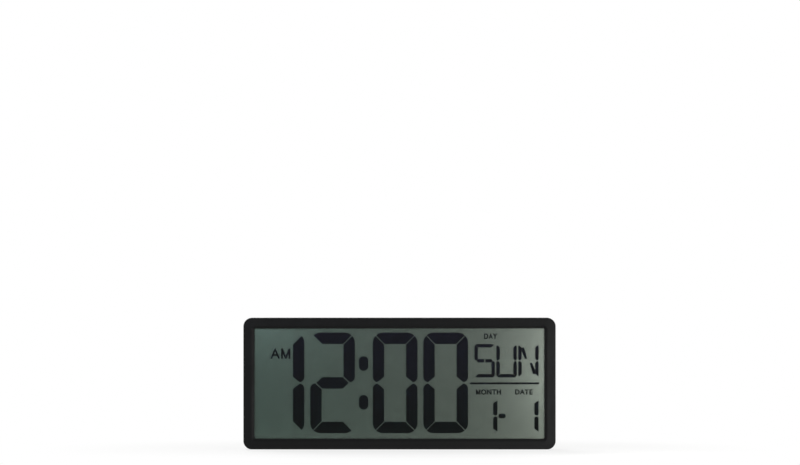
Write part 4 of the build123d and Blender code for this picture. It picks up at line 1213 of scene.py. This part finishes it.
# %% Metals
tinned = patchy(
    "drawn_tinned_steel",
    "#b4b3ad",
    "#cfcec9",
    size=0.6,
    roughness=0.26,
    metallic=1.0,
    stretch=(1, 1, 0.08),
)
zinc = patchy("zinc_plated_steel", "#8f9598", "#b7bdbf", size=1.8, roughness=0.34, metallic=1.0)

dress(tinned, "crystal_can")
dress(zinc, "case_screws", "holder_screws", "board_screws")
dress(nickel, "contact_springs", "contact_plates", "link_contact")
print("metals inside:", [m.name for m in (tinned, zinc, nickel)])

# %% [markdown]
# Parts with two materials
#
# A capacitor is an aluminium can with a bare top in a black sleeve. A key or slide switch is a
# black block under a pressed steel cover, and a chip resistor has tinned ends. In each, the
# change comes at one distance along one axis, so a step on that coordinate picks one of two
# shaders, and no new geometry is needed.

# %% How a capped finish is made
SKIN_PATCHES = 0.9
SKIN_GLOSSY = 0.28
SKIN_DULL = 0.46


def capped(name, body, cap, axis, middle, reach):
    """One shader within reach of middle along an axis, in millimetres, and a metal one beyond."""
    material, tree, shader = finish(name, body, roughness=0.42, ior=1.55)
    metal = add(tree, "ShaderNodeBsdfPrincipled", {"Base Color": colour(cap), "Metallic": 1.0})
    where = add(tree, "ShaderNodeTexCoord").outputs["Object"]
    parts = add(tree, "ShaderNodeSeparateXYZ", {0: where})
    offset = add(
        tree, "ShaderNodeMath", {0: parts.outputs[axis], 1: mm(middle)}, operation="SUBTRACT"
    )
    away = add(tree, "ShaderNodeMath", {0: offset.outputs[0]}, operation="ABSOLUTE")
    beyond = add(
        tree, "ShaderNodeMath", {0: away.outputs[0], 1: mm(reach)}, operation="GREATER_THAN"
    )
    skin = add(
        tree, "ShaderNodeTexNoise", {"Vector": where, "Scale": 1000 / SKIN_PATCHES, "Detail": 3.0}
    )
    gloss = add(
        tree,
        "ShaderNodeMapRange",
        {
            "Value": skin.outputs["Fac"],
            "From Min": NOISE_LOW,
            "From Max": NOISE_HIGH,
            "To Min": SKIN_GLOSSY,
            "To Max": SKIN_DULL,
        },
    )
    for target in (shader, metal):
        tree.links.new(gloss.outputs["Result"], target.inputs["Roughness"])
    mixed = add(
        tree,
        "ShaderNodeMixShader",
        {0: beyond.outputs[0], 1: shader.outputs[0], 2: metal.outputs[0]},
    )
    surface(tree, mixed)
    return material


print("patches of the skin, mm:", SKIN_PATCHES)

# %% [markdown]
# Small parts on the board
#
# The capacitors and the switches stand on the rear face of the board, so their change is
# measured from it: where a can's sleeve ends, or where a switch's cover begins. The resistors
# lie in one row with their tinned ends up and down, and theirs is measured from the row.

# %% Parts with two materials
BOARD_REAR = -2.4
RESISTOR_Z = 22.0

can = capped("sleeved_aluminium_can", "#111214", "#c3c5c6", "Y", BOARD_REAR, reach=5.6)
key_switch = capped("switch_with_steel_cover", "#121315", "#a9adaf", "Y", BOARD_REAR, reach=3.2)
slide_switch = capped("slide_switch_steel", "#121315", "#a9adaf", "Y", BOARD_REAR, reach=0.8)
resistor = capped("thick_film_resistor", "#141517", "#bfc1bf", "Z", RESISTOR_Z, reach=0.65)
dress(can, "capacitors")
dress(key_switch, "tact_switches")
dress(slide_switch, "slide_switch_body")
dress(resistor, "resistors")
print("two part finishes:", [m.name for m in (can, key_switch, slide_switch, resistor)])

# %% [markdown]
# The board
#
# The board is glass epoxy laminate under green solder mask. Copper tracks lie under the mask
# and show as paler, slightly raised lines, mostly along the board. A brick pattern with wide
# bricks gives lines that run long and step down now and then, as routed tracks do.

# %% Board
TRACK_PITCH = 2.2
TRACK_LENGTH = 16.0
TRACK_WIDTH = 0.35
TRACK_RISE = 0.04
MASK_GREEN = "#1d4a2f"

board, tree, shader = finish("green_solder_mask", MASK_GREEN, roughness=0.34, ior=1.56)
where = add(tree, "ShaderNodeTexCoord").outputs["Object"]
parts = add(tree, "ShaderNodeSeparateXYZ", {0: where})
face = add(tree, "ShaderNodeCombineXYZ", {"X": parts.outputs["X"], "Y": parts.outputs["Z"]})
tracks = add(
    tree,
    "ShaderNodeTexBrick",
    {
        "Vector": face.outputs[0],
        "Color1": colour("#18422a"),
        "Color2": colour(MASK_GREEN),
        "Mortar": colour("#3a7a4c"),
        "Scale": 1.0,
        "Mortar Size": mm(TRACK_WIDTH) / 2,
        "Brick Width": mm(TRACK_LENGTH),
        "Row Height": mm(TRACK_PITCH),
    },
)
copper = add(tree, "ShaderNodeBump", {"Height": tracks.outputs["Fac"], "Distance": mm(TRACK_RISE)})
tree.links.new(tracks.outputs["Color"], shader.inputs["Base Color"])
tree.links.new(copper.outputs["Normal"], shader.inputs["Normal"])
dress(board, "main_board")
print("board, mm:", [round(1000 * d, 1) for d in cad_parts["main_board"].dimensions])

# %% [markdown]
# The zebra strip
#
# The zebra strip is silicone rubber with thin black carbon layers, which join the board's pads
# to the glass. Its layers are 0.05 mm thick, far too fine to see, so they are drawn about 3 mm
# apart. A wave texture's bands are a sine that turns 20 radians per unit of length.

# %% Zebra strip
STRIPE_PITCH = 3.1416
WAVE_RADIANS = 20
SILICONE_WHITE = "#d8d6cf"

zebra, tree, shader = finish("striped_silicone", SILICONE_WHITE, roughness=0.55, ior=1.42)
where = add(tree, "ShaderNodeTexCoord").outputs["Object"]
stripes = add(
    tree,
    "ShaderNodeTexWave",
    {"Vector": where, "Scale": 2 * math.pi / WAVE_RADIANS / mm(STRIPE_PITCH)},
    bands_direction="X",
)
layers = add(tree, "ShaderNodeValToRGB", {"Fac": stripes.outputs["Fac"]})
layers.color_ramp.interpolation = "CONSTANT"
layers.color_ramp.elements[0].color = colour("#1b1b1c")
layers.color_ramp.elements[1].position = 0.5
layers.color_ramp.elements[1].color = colour(SILICONE_WHITE)
tree.links.new(layers.outputs["Color"], shader.inputs["Base Color"])
dress(zebra, "zebra_strip")
used = {slot.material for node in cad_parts.values() for slot in node.material_slots}
print("finishes on the mouldings:", len(used))

# %% [markdown]
# The end
#
# Looks don't change the size of the clock. The plain Standard view shows colours as they were
# chosen.

# %% The end
bpy.context.scene.view_settings.view_transform = "Standard"
